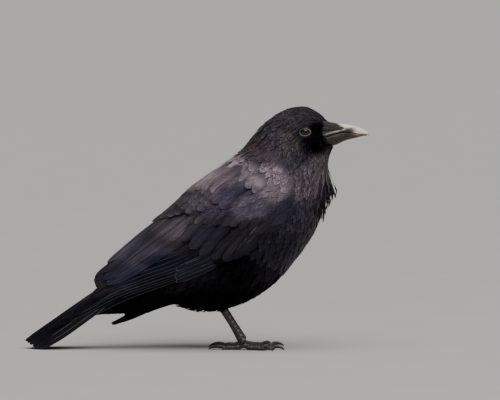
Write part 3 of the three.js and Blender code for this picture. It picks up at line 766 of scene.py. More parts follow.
# %% Melting the flesh together
FLESH = ["head", "neck", "trunk", "undertail_coverts"]
FLESH += [f"{part}_{side}" for part in ("scapulars", "wing_coverts", "thigh") for side in SIDES]
BACKING = [f"tertials_{side}" for side in SIDES]
SKIN = {"voxel": 1.9, "smoothing": 6, "depth": 2.6, "wing_depth": 2.9, "face_depth": 1.1, "limb_depth": 1.6,
        "gape_depth": 4.5}


def melted(names, voxel):
    """One closed mesh from copies of the frame's nodes."""
    bm = bmesh.new()
    for name in names:
        bm.from_mesh(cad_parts[name].data)
    bmesh.ops.remove_doubles(bm, verts=bm.verts, dist=1e-6)
    mesh = bpy.data.meshes.new("melt")
    bm.to_mesh(mesh)
    bm.free()
    rough = bpy.data.objects.new("melt", mesh)
    bpy.context.scene.collection.objects.link(rough)
    remesh = rough.modifiers.new("melt", "REMESH")
    remesh.mode = "VOXEL"
    remesh.voxel_size = voxel * MM
    graph = bpy.context.evaluated_depsgraph_get()
    made = bpy.data.meshes.new_from_object(rough.evaluated_get(graph))
    bpy.data.objects.remove(rough)
    return made


def drop_specks(bm):
    """Deletes every island but the largest: the melt can leave a lone cube at a thin tip."""
    islands, seen = [], set()
    for start in bm.verts:
        if start in seen:
            continue
        seen.add(start)
        island = [start]
        for vert in island:  # grows as it is walked
            fresh = [edge.other_vert(vert) for edge in vert.link_edges if edge.other_vert(vert) not in seen]
            seen.update(fresh)
            island += fresh
        islands.append(island)
    islands.sort(key=len)
    specks = [vert for island in islands[:-1] for vert in island]
    bmesh.ops.delete(bm, geom=specks, context="VERTS")
    print("skin: specks dropped:", len(islands) - 1)


# %% [markdown]
# The melted skin is smoothed, and then it shrinks by the depth of the coat, which is thin on the face and the
# thighs and nothing at the tip of the plume. At the corners of the mouth it draws well back behind the bill.

# %% Skin
def down_finish():
    """Short dark down with a ruffled relief, as seen between feathers."""
    finish = Finish("down")
    point = finish.place()
    tufts = finish.noise(point, 0.5, 4, 0.65)
    fine = finish.noise(point, 2.2, 2, 0.6)
    return finish.feed({
        "Base Color": finish.scaled(plumage(finish), tufts * 0.7 + 0.15),
        "Roughness": tufts * 0.2 + 0.65,
        "Normal": finish.bump(tufts * 0.7 + fine * 0.3, 0.6, 0.8),
        "Specular IOR Level": 0.25,
    })


def skin_depth(x, y, z):
    """How far the skin lies inside the frame at each point."""
    wide = np.abs(y)
    face = smooth(98, 112, x) * smooth(205, 220, z)
    limb = 1 - smooth(60, 84, z)
    wing = smooth(49, 53, wide)
    plume_tip = (1 - smooth(-92, -80, x)) * (1 - smooth(30, 36, z))
    gape = smooth(134.5, 138.5, x) * smooth(221, 225, z) * (1 - smooth(243, 246, z)) * smooth(4, 7, wide)
    depth = SKIN["depth"] + (SKIN["wing_depth"] - SKIN["depth"]) * wing
    depth = depth + (SKIN["limb_depth"] - depth) * limb
    depth = depth * (1 - plume_tip)
    depth = depth + (SKIN["face_depth"] - depth) * face
    return depth + SKIN["gape_depth"] * gape


def relax(bm):
    bmesh.ops.smooth_vert(bm, verts=bm.verts, factor=0.5, use_axis_x=True, use_axis_y=True, use_axis_z=True)


def make_skin():
    mesh = melted(FLESH + BACKING, SKIN["voxel"])
    bm = bmesh.new()
    bm.from_mesh(mesh)
    drop_specks(bm)
    for _ in range(SKIN["smoothing"]):
        relax(bm)
    bm.normal_update()
    points = np.array([v.co for v in bm.verts]) / MM
    normals = np.array([v.normal for v in bm.verts])
    depth = skin_depth(*points.T)
    for vert, point in zip(bm.verts, (points - normals * depth[:, None]) * MM):
        vert.co = point
    relax(bm)
    bm.to_mesh(mesh)
    bm.free()
    mesh.polygons.foreach_set("use_smooth", np.ones(len(mesh.polygons), bool))
    mesh.name = "skin"
    print("skin:", len(mesh.polygons), "faces")
    return bpy.data.objects.new("skin", mesh)


finished(make_skin(), "body_feathers", down_finish(), *FLESH)

# %% [markdown]
# Feathers stop at the rim of the eye and at the root of the bill, and none are made under the folded wing.
# The finished coat could be cut there, but that would leave half feathers with square ends. So each feather
# is asked about before it is laid, and those near the eye are shortened.

# %% Where feathers stop
EYE = {"x": 120.3, "z": 238.6, "radius": 6.1}
LID_OPENING = (6.0, 4.5)  # half length and half height of the bare rim round the eye
GAPE = [(138.8, 225.5), (138.8, 237), (141, 244), (153, 244), (153, 223.8), (145, 224)]  # the bill's root


def clear_of_face(surface, place, spare=0.5):
    """False where a place lies over an eye or on the root of the bill."""
    wide, high = (size + spare for size in LID_OPENING)
    x, _, z = surface.point(place).T
    return (((x - EYE["x"]) / wide) ** 2 + ((z - EYE["z"]) / high) ** 2 > 1) & ~inside(GAPE, x, z)


def shortened(surface, root, tip):
    """Tips drawn back until the feathers stop at the rim of the eye and at the bill."""
    for share in (0.85, 0.7, 0.55, 0.4):
        over = ~clear_of_face(surface, tip)
        tip[over] = root[over] + (tip[over] - root[over]) * share
    return tip


def under_wing(surface, place, margin):
    """True where a place is covered by the folded wing, by more than a margin from its front edge."""
    x, _, z = surface.point(place).T
    return inside(WING_EDGE, x + margin, z + margin * 0.3) & inside(WING_EDGE, x, z)


print("bare rim:", 2 * LID_OPENING[0], "by", 2 * LID_OPENING[1], "mm")

# %% [markdown]
# The head's feathers are the smallest, short and velvety. Down the neck they lengthen into narrow silky
# points. All of them lie backwards from the bill. Three finishes serve the front of the bird: velvet on the
# face, silk on the neck, and a soot black with hardly any gloss underneath.

# %% Head and neck
velvet = feather_finish("velvet_feathers", barbs=10, slant=3, rim=0.1, rough=0.6, gloss=0.03, streak=0.8,
                        shade=0.3, tone_reach=0.7, sheen=0.02)
silky = feather_finish("silky_feathers", barbs=24, slant=8, rim=0.3, streak=1.0, folds=0.8, tone_reach=1.0,
                       shade=0.6)
sooty = feather_finish("sooty_feathers", barbs=18, slant=10, rim=0.3, rough=0.65, gloss=0.02, tone_reach=0.7,
                       sheen=0.0)
face = Coat("face_feathers", 11)
root = rows(body, -0.01, 0.295, [1.3, 1.5, 1.8, 2.4], [1.7, 2.0, 2.5, 3.2], face.rng)
share = share_along(root, 0, 0.27)
tip = shortened(body, root, face.aim(body, root, 6 + 5.5 * share, sway=6))
keep = clear_of_face(body, root, 0.8) & clear_of_face(body, tip)
for part in (0.25, 0.5, 0.75):
    keep &= clear_of_face(body, root + (tip - root) * part, 1.4)
root, tip, share = root[keep], tip[keep], share[keep]
face.lay(body, root, tip, 0.95 + 0.75 * share, SMALL_LEAF, sink=0.7, lift=0.06, cup=0.04, tilt=0.03,
         ragged=1.1, thick=0.08, widths=[0.5, 0.9, 1, 0.7, 0.2])
face.build("body_feathers", velvet)

NECK = (0.235, 0.475)  # the stretch of the body it takes up
neck = Coat("neck_feathers", 12)
root = rows(body, *NECK, [3.0, 3.8, 5.0], [3.4, 4.4, 6.0], neck.rng)
share = share_along(root, *NECK)
tip = neck.aim(body, root, 9 + 8 * share, sway=7)
keep = ~under_wing(body, root, 7) & clear_of_face(body, root, 1.8)
keep &= clear_of_face(body, (root + tip) / 2, 2.4)
root, tip, share = root[keep], tip[keep], share[keep]
neck.lay(body, root, tip, 2.2 + 1.6 * share, sink=1.6, lift=0.2, cup=0.07, tilt=0.06, ragged=0.8, thick=0.15,
         widths=[0.5, 0.9, 1, 0.75, 0.3])
neck.build("body_feathers", silky)

# %% [markdown]
# The breast and belly carry round, soft feathers like tiles, each with its rim laid over the next. They grow
# from under the front of the wing, and get looser towards the vent. A second, sparse lot with rising tips
# frays the belly's outline, which would otherwise be as clean as an egg's.

# %% Breast, belly and back
scaly = feather_finish("breast_feathers", barbs=24, slant=10, rim=0.7, tone_reach=1.0, streak=0.8, shade=0.75)
BREAST, BELLY, LOOSE = (0.45, 0.665), (0.655, 0.985), (0.82, 0.915)  # the stretches of the body they take up
BREAST_TURN, BELLY_TURN, LOOSE_TURN = 0.9, 1.2, 2.1  # they grow beyond this turn from the top

breast = Coat("breast_feathers", 13)
root = rows(body, *BREAST, [4.6, 5.4, 6.4], [6.0, 7.0, 8.0], breast.rng)
share = share_along(root, *BREAST)
tip = breast.aim(body, root, 15 + 5 * share, sway=5)
keep = ~under_wing(body, root, 10) & (np.abs(root[:, 1]) > BREAST_TURN)
root, tip, share = root[keep], tip[keep], share[keep]
breast.lay(body, root, tip, 4.6 + share, COVERT_LEAF, sink=2.2, lift=0.3, cup=0.14, ragged=0.25,
           widths=[0.4, 0.85, 1.05, 1, 0.5])
breast.build("body_feathers", scaly)

belly = Coat("belly_feathers", 14)
root = rows(body, *BELLY, [7.0, 8.0, 8.0], [8.0, 9.0, 8.0], belly.rng)
tip = belly.aim(body, root, 22 + 4 * share_along(root, *BELLY), sway=8)
keep = ~under_wing(body, root, 10) & (np.abs(root[:, 1]) > BELLY_TURN)
root, tip = root[keep], tip[keep]
belly.lay(body, root, tip, 5.4, COVERT_LEAF, lift=0.5, ragged=0.9, widths=[0.4, 0.85, 1, 0.8, 0.35])
root = rows(body, *LOOSE, 4.0, 4.0, belly.rng)
root = root[np.abs(root[:, 1]) > LOOSE_TURN]
loose = 0.5 + 3 * belly.rng.random(len(root))
tip = belly.aim(body, root, 20, sway=16)
belly.lay(body, root, tip, 3.0, COVERT_LEAF, sink=1.0, lift=loose, rise=2.0, ragged=1.6,
          widths=[0.5, 0.9, 1, 0.6, 0.2])
belly.build("body_feathers", sooty)

# %% [markdown]
# The cape over the back is made of the mantle and the scapulars, broad round feathers that cover the roots of
# both wings. Their lower edge runs in steps from the bend of the wing to the tertials. It is given as a line
# seen from the side, which is how the edge of a cape is looked at and drawn.

# %% The edge of the cape
SCAPULAR_EDGE = [
    (-67, 128), (-31, 143), (-14, 147), (0, 150.5), (18, 153.5), (31, 154), (39, 157), (48, 163.5), (58, 170),
    (68, 174), (88, 174), (99, 178),
]
SCAPULAR_BAND = 27  # how far up from their edge the scapulars show
RIDGE_TURN = 0.8  # the cape closes over the back within this turn of the top
CAPE_TURNS = (-1.75, 1.75)  # how far round the cape is rooted
MANTLE = (0.03, 0.46)  # the stretch of the wings it takes up


def above(line, tip, spare=0.0):
    """True for the tips on the wings that lie above a side-view line."""
    x, _, z = wings.point(tip).T
    return z > np.interp(x, *np.array(line).T) + spare


def on_cape(tip):
    x, _, z = wings.point(tip).T
    return above(SCAPULAR_EDGE, tip) & (inside(WING_EDGE, x, z) | (np.abs(tip[:, 1]) < RIDGE_TURN))


print("edge of the scapulars:", len(SCAPULAR_EDGE), "points")

# %% [markdown]
# The scapulars are laid first, each cupped, with painted shade darkening both sides of its shaft. The mantle
# laps over them, soft and frayed, and its feathers, paler in part by the painted highlight on the mantle,
# melt into one another.

# %% Mantle and scapulars
mantle_finish = feather_finish("mantle_feathers", rim=0.1, rough=0.45, streak=0.7, folds=0.9, tone_reach=0.35,
                               shade=0.2)
scapular_finish = feather_finish("scapular_feathers", barbs=40, slant=12, rim=0.4, edge=0.7, rough=0.42,
                                 shade=0.8, streak=0.4, folds=0.5, valley_shade=0.4, tone_reach=0.5)
scapulars = Coat("scapular_feathers", 16)
root = rows(wings, 0.08, 0.5, 9, [9, 10, 11], scapulars.rng, CAPE_TURNS)
tip = scapulars.aim(wings, root, 28 + 26 * root[:, 0], sway=3)
keep = on_cape(tip) & ~above(SCAPULAR_EDGE, tip, SCAPULAR_BAND) & (wings.point(tip)[:, 0] < 68)
scapulars.lay(wings, root[keep], tip[keep], 8.2, COVERT_LEAF, sink=2.6, lift=0.7, cup=0.16, thick=0.25,
              widths=[0.5, 0.9, 1.05, 1.1, 0.75], bow=0.8, ragged=0.1)
scapulars.build("wing_feathers", scapular_finish)

mantle = Coat("mantle_feathers", 15)
root = rows(wings, *MANTLE, [5.6, 6.6, 7.4, 8.4], [6.6, 7.8, 8.6, 9.4], mantle.rng, CAPE_TURNS)
share = share_along(root, *MANTLE)
tip = mantle.aim(wings, root, 20 + 15 * share, sway=5)
keep = on_cape(tip) & (above(SCAPULAR_EDGE, tip, SCAPULAR_BAND - 5) | (wings.point(tip)[:, 0] > 62))
root, tip, share = root[keep], tip[keep], share[keep]
half = np.where(wings.point(tip)[:, 0] > 40, 3.6, 4.6 + 1.6 * share)
mantle.lay(wings, root, tip, half, COVERT_LEAF, lift=0.25, cup=0.04, tilt=0.03, thick=0.08, ragged=0.9,
           widths=[0.5, 0.9, 1, 0.8, 0.25])
mantle.build("wing_feathers", mantle_finish)

# %% [markdown]
# Below the scapulars the wing's own coverts lie in named rows: small smooth lesser coverts at the bend, one
# row of median and one of long greater coverts, the narrow primary coverts, and the alula, a few stiff
# feathers on the wing's thumb. Each row is a line of tips seen from the side, as a taxidermist lays them.

# %% Covert finishes and rows
covert_finish = feather_finish("covert_feathers", barbs=44, slant=12, rim=0.15, end=0.93, rough=0.42,
                               shaft=0.2, streak=0.4, folds=0.7, valley_shade=0.8, tone_reach=0.6, shade=0.4)
lesser_finish = feather_finish("lesser_covert_feathers", barbs=38, slant=10, rim=0.15, rough=0.45, streak=0.5,
                               folds=0.5, tone_reach=0.45, shade=0.25)
# The fixed pale edge paints of the primary coverts and the alula are partly wear and partly a painted
# highlight where light catches their edges.
stiff_finish = feather_finish("primary_covert_feathers", barbs=60, slant=14, rim=0.9, edge=0.74, end=0.97,
                              pale=(0.105, 0.108, 0.125), rough=0.42, shaft=0.4, streak=0.4, folds=0.6,
                              tone_reach=0.9, shade=0.3)
alula_finish = feather_finish("alula_feathers", colour=(0.016, 0.014, 0.019), barbs=60, slant=14, rim=0.9,
                              edge=0.5, end=None, pale=(0.11, 0.12, 0.135), rough=0.42, shaft=0.6, streak=0.4)
LESSER_EDGE = [(-14, 146), (0, 146), (18, 145.5), (36, 144), (52, 141), (66, 136), (76, 128)]
SOFT = {"cup": 0.18, "ridge": 0.1, "widths": [0.5, 0.9, 1, 1, 0.7], "bow": 0.9, "ragged": 0.15}
STIFF = {"cup": 0.1, "ridge": 0.15, "widths": [0.6, 0.9, 1, 1, 0.6], "ragged": 0.05}
ROWS = [  # coat, seed, finish, outward tilt, form, and rows: tips from the side, how many, length, heading
    # below level to the rear, half width and height
    ("wing_coverts", 24, covert_finish, 0.15, SOFT, [
        ([(-10, 140), (2, 140), (18, 139.5), (36, 137), (54, 133), (66, 129)], 9, 34, 36, 6.6, -0.3),
        ([(-14, 122), (-8, 114), (1, 108), (14, 103), (27, 99.5), (42, 103)], 6, 54, 47, 9.0, -0.7),
    ]),
    ("primary_coverts", 26, stiff_finish, 0.1, STIFF, [
        ([(-20, 91), (-22.5, 83), (-21, 75.5)], 6, 46, 24, 2.7, -1.0),
    ]),
    ("alula", 28, alula_finish, 0.1, STIFF, [
        ([(46, 111), (50, 116), (56, 122), (62, 127)], 4, 36, 42, 2.4, 0.6),
    ]),
]
print("larger coverts on a wing:", sum(row[1] for *_, lines in ROWS for row in lines))

# %% [markdown]
# The lesser coverts are many and lie in rows of their own. Of the larger ones each feather is placed by the
# point where its tip is seen, and its root is found by going back along its heading.

# %% Wing coverts
def along_line(line, count):
    """Points spread evenly by length along a side-view line."""
    fine = through(line, even(200))
    run = np.concatenate([[0], np.cumsum(np.linalg.norm(np.diff(fine, axis=0), axis=1))])
    marks = even(count) * run[-1]
    return np.stack([np.interp(marks, run, fine[:, k]) for k in (0, 1)], -1)


def lesser_coverts(name, side, number):
    coat = Coat(f"lesser_coverts_{name}_feathers", number)
    root = rows(wings, 0.06, 0.42, 6.5, 8.0, coat.rng, (0.5, 2.6)) * (1, side)
    tip = coat.aim(wings, root, 27, heading=-14 * side, sway=3)
    x, _, z = wings.point(tip).T
    keep = ~above(SCAPULAR_EDGE, tip, 4) & above(LESSER_EDGE, tip) & inside(WING_EDGE, x, z) & (x > -17)
    coat.lay(wings, root[keep], tip[keep], 5.4, COVERT_LEAF, sink=2.3, lift=0.1, cup=0.04, tilt=0.03,
             thick=0.12, ragged=0.5, widths=[0.5, 0.9, 1, 0.9, 0.4])
    coat.build("wing_feathers", lesser_finish)


def covert_rows(coat, lines, side, **form):
    rng = coat.rng
    for line, count, length, heading, half, height in lines:
        seen = along_line(line, count) + rng.normal(0, 0.5, (count, 2))
        dip = np.radians(heading + rng.normal(0, 1.5, count))
        reach = length * (1 + rng.normal(0, 0.04, count))
        back = np.stack([np.cos(dip), np.sin(dip)], -1) * reach[:, None]
        tip, root = wings.find(seen, side), wings.find(seen + back, side)
        form.update(sink=3.0 - height, lift=height + 0.1, thick=0.25)
        coat.lay(wings, root, tip, half, COVERT_LEAF, **form)


for number, (name, side) in enumerate(SIDES.items()):
    lesser_coverts(name, side, 20 + number)
    for tract, seed, finish, tilt, form, lines in ROWS:
        coat = Coat(f"{tract}_{name}_feathers", seed + number)
        covert_rows(coat, lines, side, tilt=-tilt * side, **form)
        coat.build("wing_feathers", finish)

# %% [markdown]
# The long feathers are the bird's shape behind: tertials that close over the back, secondaries stacked like
# a closed fan below them, and primaries that run on over the tail. Each is a stiff vane with a raised shaft,
# narrow on its leading side. A fan is given by its first and last feathers, and the rest are spaced between.

# %% Quills
GLOSSY = {"barbs": 110, "slant": 15, "end": None, "rough": 0.4, "shaft": 0.6, "streak": 0.2, "folds": 0.6,
          "tone_reach": 0.6, "shade": 0.2}
MATT = {**GLOSSY, "gloss": 0.1, "sheen": 0.0, "rim": 0.9}
# The pale edges of the tertials, secondaries, primaries and tail feathers are partly wear and partly a
# painted highlight where light catches each edge.
tertial_finish = feather_finish("tertial_feathers", rim=0.8, edge=0.84, **GLOSSY)
secondary_finish = feather_finish("secondary_feathers", edge=0.84, pale=(0.075, 0.075, 0.095), **MATT)
primary_finish = feather_finish("primary_feathers", edge=0.86, pale=(0.11, 0.115, 0.108), **MATT)
tail_finish = feather_finish("tail_feathers", edge=0.9, pale=(0.12, 0.115, 0.105), **MATT)
QUILL = {"widths": [0.5, 0.9, 1, 1, 0.95, 0.7], "bow": 1.3, "bow_from": 14, "cup": 0.05, "tilt": 0.0,
         "thick": 0.4, "ridge": 0.35, "rise": 0.5}


def lay_quill(coat, surface, root, tip, half, height, depth, **form):
    """Lays one quill at a height in its stack, its root a depth below that."""
    form = {**QUILL, "sink": depth - height, "lift": height, **form}
    coat.lay(surface, root, tip, half, QUILL_LEAF, **form)


print("a quill has", len(QUILL_LEAF.stations), "stations from root to tip")

# %% [markdown]
# The four tertials are placed one by one. Secondaries and primaries are fans: their roots are spread along a
# short line, their tips along a long one, and each lies a little lower than the last.

# %% Tertials, secondaries and primaries
TERTIALS = [  # root and tip as places on the wings
    ((0.29, 0.12), (0.645, 0.30)), ((0.31, 0.42), (0.68, 0.52)), ((0.31, 0.72), (0.695, 0.74)),
    ((0.33, 0.98), (0.70, 0.93)),
]
SECONDARY_TIPS = along_line([(-111, 81), (-108.5, 75), (-103, 70), (-92, 64.5)], 8)
PRIMARY_TIPS = [(-112, 56), (-122, 50.5), (-135, 43), (-149, 34), (-162, 24), (-165, 19.5), (-155, 20)]
FANS = [  # tract, seed, finish, line of roots, tips, half width, top height and how uneven the vanes are
    ("secondaries", 40, secondary_finish, [(-2, 127), (14, 103)], SECONDARY_TIPS, 7.6, -1.6, 0.2),
    ("primaries", 50, primary_finish, [(-2, 99), (4, 88)], PRIMARY_TIPS, 6.4, -3.8, 0.25),
]
TERTIAL_DROP, FAN_DROP = 0.5, 0.4  # how much lower each quill lies than the one before


def tertials(name, side, number):
    coat = Coat(f"tertials_{name}_feathers", number)
    for i, places in enumerate(TERTIALS):
        root, tip = (np.array([place]) * (1, side) for place in places)
        lay_quill(coat, wings, root, tip, 12 - i, 0.3 - TERTIAL_DROP * i, 2.6)
    coat.build("wing_feathers", tertial_finish, f"tertials_{name}")


for number, (name, side) in enumerate(SIDES.items()):
    tertials(name, side, 30 + number)
    for tract, seed, finish, roots, tips, half, top, uneven in FANS:
        coat = Coat(f"{tract}_{name}_feathers", seed + number)
        for i, seen in enumerate(zip(along_line(roots, len(tips)), tips)):
            root, tip = (wings.find(np.array([point], float), side) for point in seen)
            lay_quill(coat, wings, root, tip, half, top - FAN_DROP * i, 1.5, uneven=-uneven * side)
        coat.build("flight_feathers", finish, f"{tract}_{name}")

# %% [markdown]
# A closed tail is twelve feathers stacked like a hand of cards, roofed down from the middle pair, which lie
# on top. The surface that carries them is that roof. Short coverts overlap its root above and below.

# %% Tail
TAIL_LINE = [(-52, 100), (-88, 79), (-122, 56.5), (-156, 34), (-190, 13.5)]
TAIL_HALVES = [14, 21, 26, 28, 27]
TAIL_SAG, SAG_FROM = 22.5, 26  # the fall to the eaves where the tail is at least so wide
TAIL_PAIRS = 6


class Roof(Surface):
    """A sloping ridge whose sides fall away. The second share is 0 on the ridge and 1 at the left eave."""

    def at(self, s, side):
        ridge, slope, half = through(TAIL_LINE, s), course(TAIL_LINE, s), through(TAIL_HALVES, s)
        drop = np.abs(side) ** 1.5 * TAIL_SAG * np.minimum(1, half / SAG_FROM)
        x = ridge[..., 0] - slope[..., 1] * drop
        return np.stack([x, half * side, ridge[..., 1] + slope[..., 0] * drop], -1)


roof = Roof()
tail = Coat("tail_quills", 60)
for pair in range(TAIL_PAIRS):
    for side in SIDES.values():
        end = 0.08 + 0.76 * pair / (TAIL_PAIRS - 1)
        tip = np.array([[1.005 - 0.08 * end**2 - 0.003 * pair, end * side]])
        root = np.array([[0.12, end * side * 0.75]])
        height = -0.3 - 0.55 * pair - 0.28 * (side > 0)
        form = {"uneven": -0.15 * side, "bow": 1.0, "bow_from": 9, "curl": -0.6 * (1 - end) ** 1.5}
        lay_quill(tail, roof, root, tip, 10, height, 0.8, **form)
tail.build("flight_feathers", tail_finish, "tail")

# %% [markdown]
# Short coverts close the gap between body and tail: a rump above, and below it the under tail coverts with
# one loose plume, both in the same soot black as the belly.

# %% Rump and under tail coverts
rump = Coat("rump_feathers", 61)
root = rows(roof, -0.1, 0.3, 9, 9, rump.rng, (-0.9, 0.9))
tip = rump.aim(roof, root, 30, sway=3)
rump.lay(roof, root, tip, 6, COVERT_LEAF, sink=1.0, lift=0.8, ragged=0.3, widths=[0.4, 0.85, 1, 0.9, 0.45])
rump.build("body_feathers", mantle_finish)

vent = Coat("undertail_feathers", 62)
for under in (undertail, plume):
    root = rows(under, -0.05, 0.72, [9, 8, 7], [8, 7, 5], vent.rng)
    tip = vent.aim(under, root, 24, sway=5)
    tip[:, 0] = np.minimum(tip[:, 0], 0.97)
    form = {"sink": 1.4, "lift": 0.3, "ragged": 0.9, "widths": [0.4, 0.85, 1, 0.7, 0.3]}
    vent.lay(under, root, tip, 4.6, COVERT_LEAF, **form)
vent.build("body_feathers", sooty)

# %% [markdown]
# The thighs wear loose soft trousers of small feathers, which end in a ragged cuff over the heel. They are
# laid on the two limbs and not on the body, so that they follow the slant of the legs.

# %% Thighs
thigh_coat = Coat("thigh_feathers", 63)
for thigh in thighs.values():
    root = rows(thigh, 0.0, 0.8, 4.2, 4.6, thigh_coat.rng)
    tip = thigh_coat.aim(thigh, root, 14, sway=6)
    tip[:, 0] = np.minimum(tip[:, 0], 0.98)
    thigh_coat.lay(thigh, root, tip, 3.0, sink=1.3, lift=0.4, ragged=0.9, widths=[0.4, 0.8, 1, 0.7, 0.3])
thigh_coat.build("body_feathers", sooty)

# %% [markdown]
# Crows have shaggy throats: long narrow hackles that hang clear of the neck and break its outline. They stand
# out furthest in the middle of the throat and high up. Hair strands could make them, but leaves take the same
# silky finish as the neck, and so the same light.

# %% Throat hackles
THROAT_TURN = 2.3  # hackles grow beyond this turn from the top

hackles = Coat("throat_hackles", 64)
root = rows(body, 0.2, 0.41, 3.0, 2.8, hackles.rng)
root = root[np.abs(root[:, 1]) > THROAT_TURN]
tip = hackles.aim(body, root, 25, sway=8)
most = (11 - 6 * smooth(0.27, 0.35, root[:, 0])) * smooth(THROAT_TURN, 2.95, np.abs(root[:, 1]))
proud = 0.4 + most * hackles.rng.random(len(root)) ** 0.7
hackles.lay(body, root, tip, 2.8, COVERT_LEAF, sink=1.0, lift=proud, rise=1.7, cup=0.15, ragged=0.9, bow=1.2,
            widths=[0.6, 1, 1, 0.6, 0.12])
hackles.build("body_feathers", silky)

# %% [markdown]
# Horny parts are smooth closed forms. Each begins as a ball with many rings, and every point of it is put
# somewhere else by a small formula: t runs from one pole to the other, and turn goes round. They could be
# sculpted, but a ball is closed from the start, and its formula holds the part's real measures.

# %% Lofted forms
def lofted(name, around, along, placed, plate_rim_highlight_and_wear=None):
    """A closed mesh whose points are placed(t, turn), in millimetres. wear(t, turn) is kept on its points."""
    bm = bmesh.new()
    bmesh.ops.create_uvsphere(bm, u_segments=around, v_segments=along, radius=1)
    ball = np.array([v.co for v in bm.verts])
    t, turn = np.arccos(np.clip(ball[:, 2], -1, 1)) / math.pi, np.arctan2(ball[:, 1], ball[:, 0])
    for vert, point in zip(bm.verts, placed(t, turn) * MM):
        vert.co = point
    if plate_rim_highlight_and_wear:
        layer = bm.verts.layers.float.new("plate_rim_highlight_and_wear")
        for vert, share in zip(bm.verts, plate_rim_highlight_and_wear(t, turn)):
            vert[layer] = share
    return bmesh_piece(name, bm)


def bmesh_piece(name, bm):
    bmesh.ops.remove_doubles(bm, verts=bm.verts, dist=1e-6)
    bmesh.ops.recalc_face_normals(bm, faces=bm.faces)
    for face_made in bm.faces:
        face_made.smooth = True
    mesh = bpy.data.meshes.new(name)
    bm.to_mesh(mesh)
    bm.free()
    print(f"{name}: {len(mesh.polygons)} faces")
    return bpy.data.objects.new(name, mesh)


def quarter_circle(share):
    return np.sqrt(np.clip(1 - (1 - np.clip(share, 0, 1)) ** 2, 0, 1))


def rounded(t, first, last):
    """Rises as a quarter circle from 0 at both poles to 1, over the given shares."""
    return np.minimum(quarter_circle(t / first), quarter_circle((1 - t) / last))


def power(value, exponent):
    return np.sign(value) * np.abs(value) ** exponent


# %% [markdown]
# The bill is horn over bone: two long halves that meet on a curved line, the upper a little hooked. Each is
# a ball drawn out along its own ridge and mouth line. A thin dark lining closes the gap between them.

# %% The bill's shape
CULMEN = [
    (137, 249.8), (147, 249.2), (157, 247.9), (165, 246.9), (172.5, 245.6), (179, 243.8), (185, 240.7),
    (189.3, 237.9), (191.2, 235.2),
]
MOUTH_LINE = [
    (137, 230.6), (147, 234.2), (157, 237), (165, 237.9), (172.5, 237.2), (179, 236), (185, 235.4),
    (189.3, 235), (191.2, 233.6),
]
BILL_HALVES = [10.8, 10, 8.6, 7.1, 5.8, 4.5, 3.2, 2.1, 0.9]
KEEL = [224.4, 222.7, 224, 227.5, 229.9, 231.3, 232.8, 234, 234.6]
LOWER_SHARE, LOWER_WIDTH, LINING_WIDTH = 0.86, 0.9, 0.8  # of the upper half's length and width
MOUTH_GAP, BILL_EDGE = 0.4, 0.35


def upper_bill(t, turn):
    ridge, mouth = through(CULMEN, t), through(MOUTH_LINE, t)
    size = rounded(t, 0.02, 0.07)
    up, across = np.cos(turn), np.sin(turn)
    height = np.maximum(ridge[:, 1] - mouth[:, 1] - MOUTH_GAP / 2 - BILL_EDGE, 0.6)
    rise = np.where(up > 0, height * np.abs(up) ** 0.85, up * BILL_EDGE)
    y = through(BILL_HALVES, t) * power(across, 0.9) * size
    z = mouth[:, 1] + MOUTH_GAP / 2 + BILL_EDGE + rise * size
    return np.stack([(ridge[:, 0] + mouth[:, 0]) / 2, y, z], -1)


def lower_bill(t, turn):
    mouth = through(MOUTH_LINE, t * LOWER_SHARE)
    size = rounded(t, 0.02, 0.1)
    down, across = -np.cos(turn), np.sin(turn)
    depth = np.maximum(mouth[:, 1] - through(KEEL, t) - MOUTH_GAP / 2 - BILL_EDGE, 0.7)
    sag = np.where(down > 0, depth * np.abs(down) ** 0.85, down * BILL_EDGE)
    y = through(BILL_HALVES, t * LOWER_SHARE) * LOWER_WIDTH * power(across, 0.9) * size
    return np.stack([mouth[:, 0], y, mouth[:, 1] - MOUTH_GAP / 2 - BILL_EDGE - sag * size], -1)


def mouth_lining(t, turn):
    """The dark skin that shows as a line between the closed halves."""
    mouth = through(MOUTH_LINE, t * LOWER_SHARE)
    size = rounded(t, 0.06, 0.1)
    y = through(BILL_HALVES, t * LOWER_SHARE) * LINING_WIDTH * np.sin(turn) * size
    return np.stack([mouth[:, 0], y, mouth[:, 1] + MOUTH_GAP * 1.5 * np.cos(turn) * size], -1)


print("bill:", round(CULMEN[-1][0] - CULMEN[0][0], 1), "mm long")

# %% [markdown]
# The horn's grain runs along the bill, so its noises are stretched that way. Four places are painted pale:
# the ridge, which is paler the higher it lies, and the front are partly wear and partly a painted highlight
# from the light above, and the lip of the upper half and a line along the top of the jaw are painted
# highlights. A ramp turns this into dark, mid and pale horn, and a brown stain lies under the tip.

# %% Bill
def mouth_finish():
    finish = Finish("mouth_lining")
    damp = finish.noise(finish.place(), 1.2, 3, 0.6)
    colour = finish.mix(damp, (0.004, 0.003, 0.003), (0.016, 0.010, 0.009))
    return finish.feed({"Base Color": colour, "Roughness": damp * 0.2 + 0.4, "Specular IOR Level": 0.2})


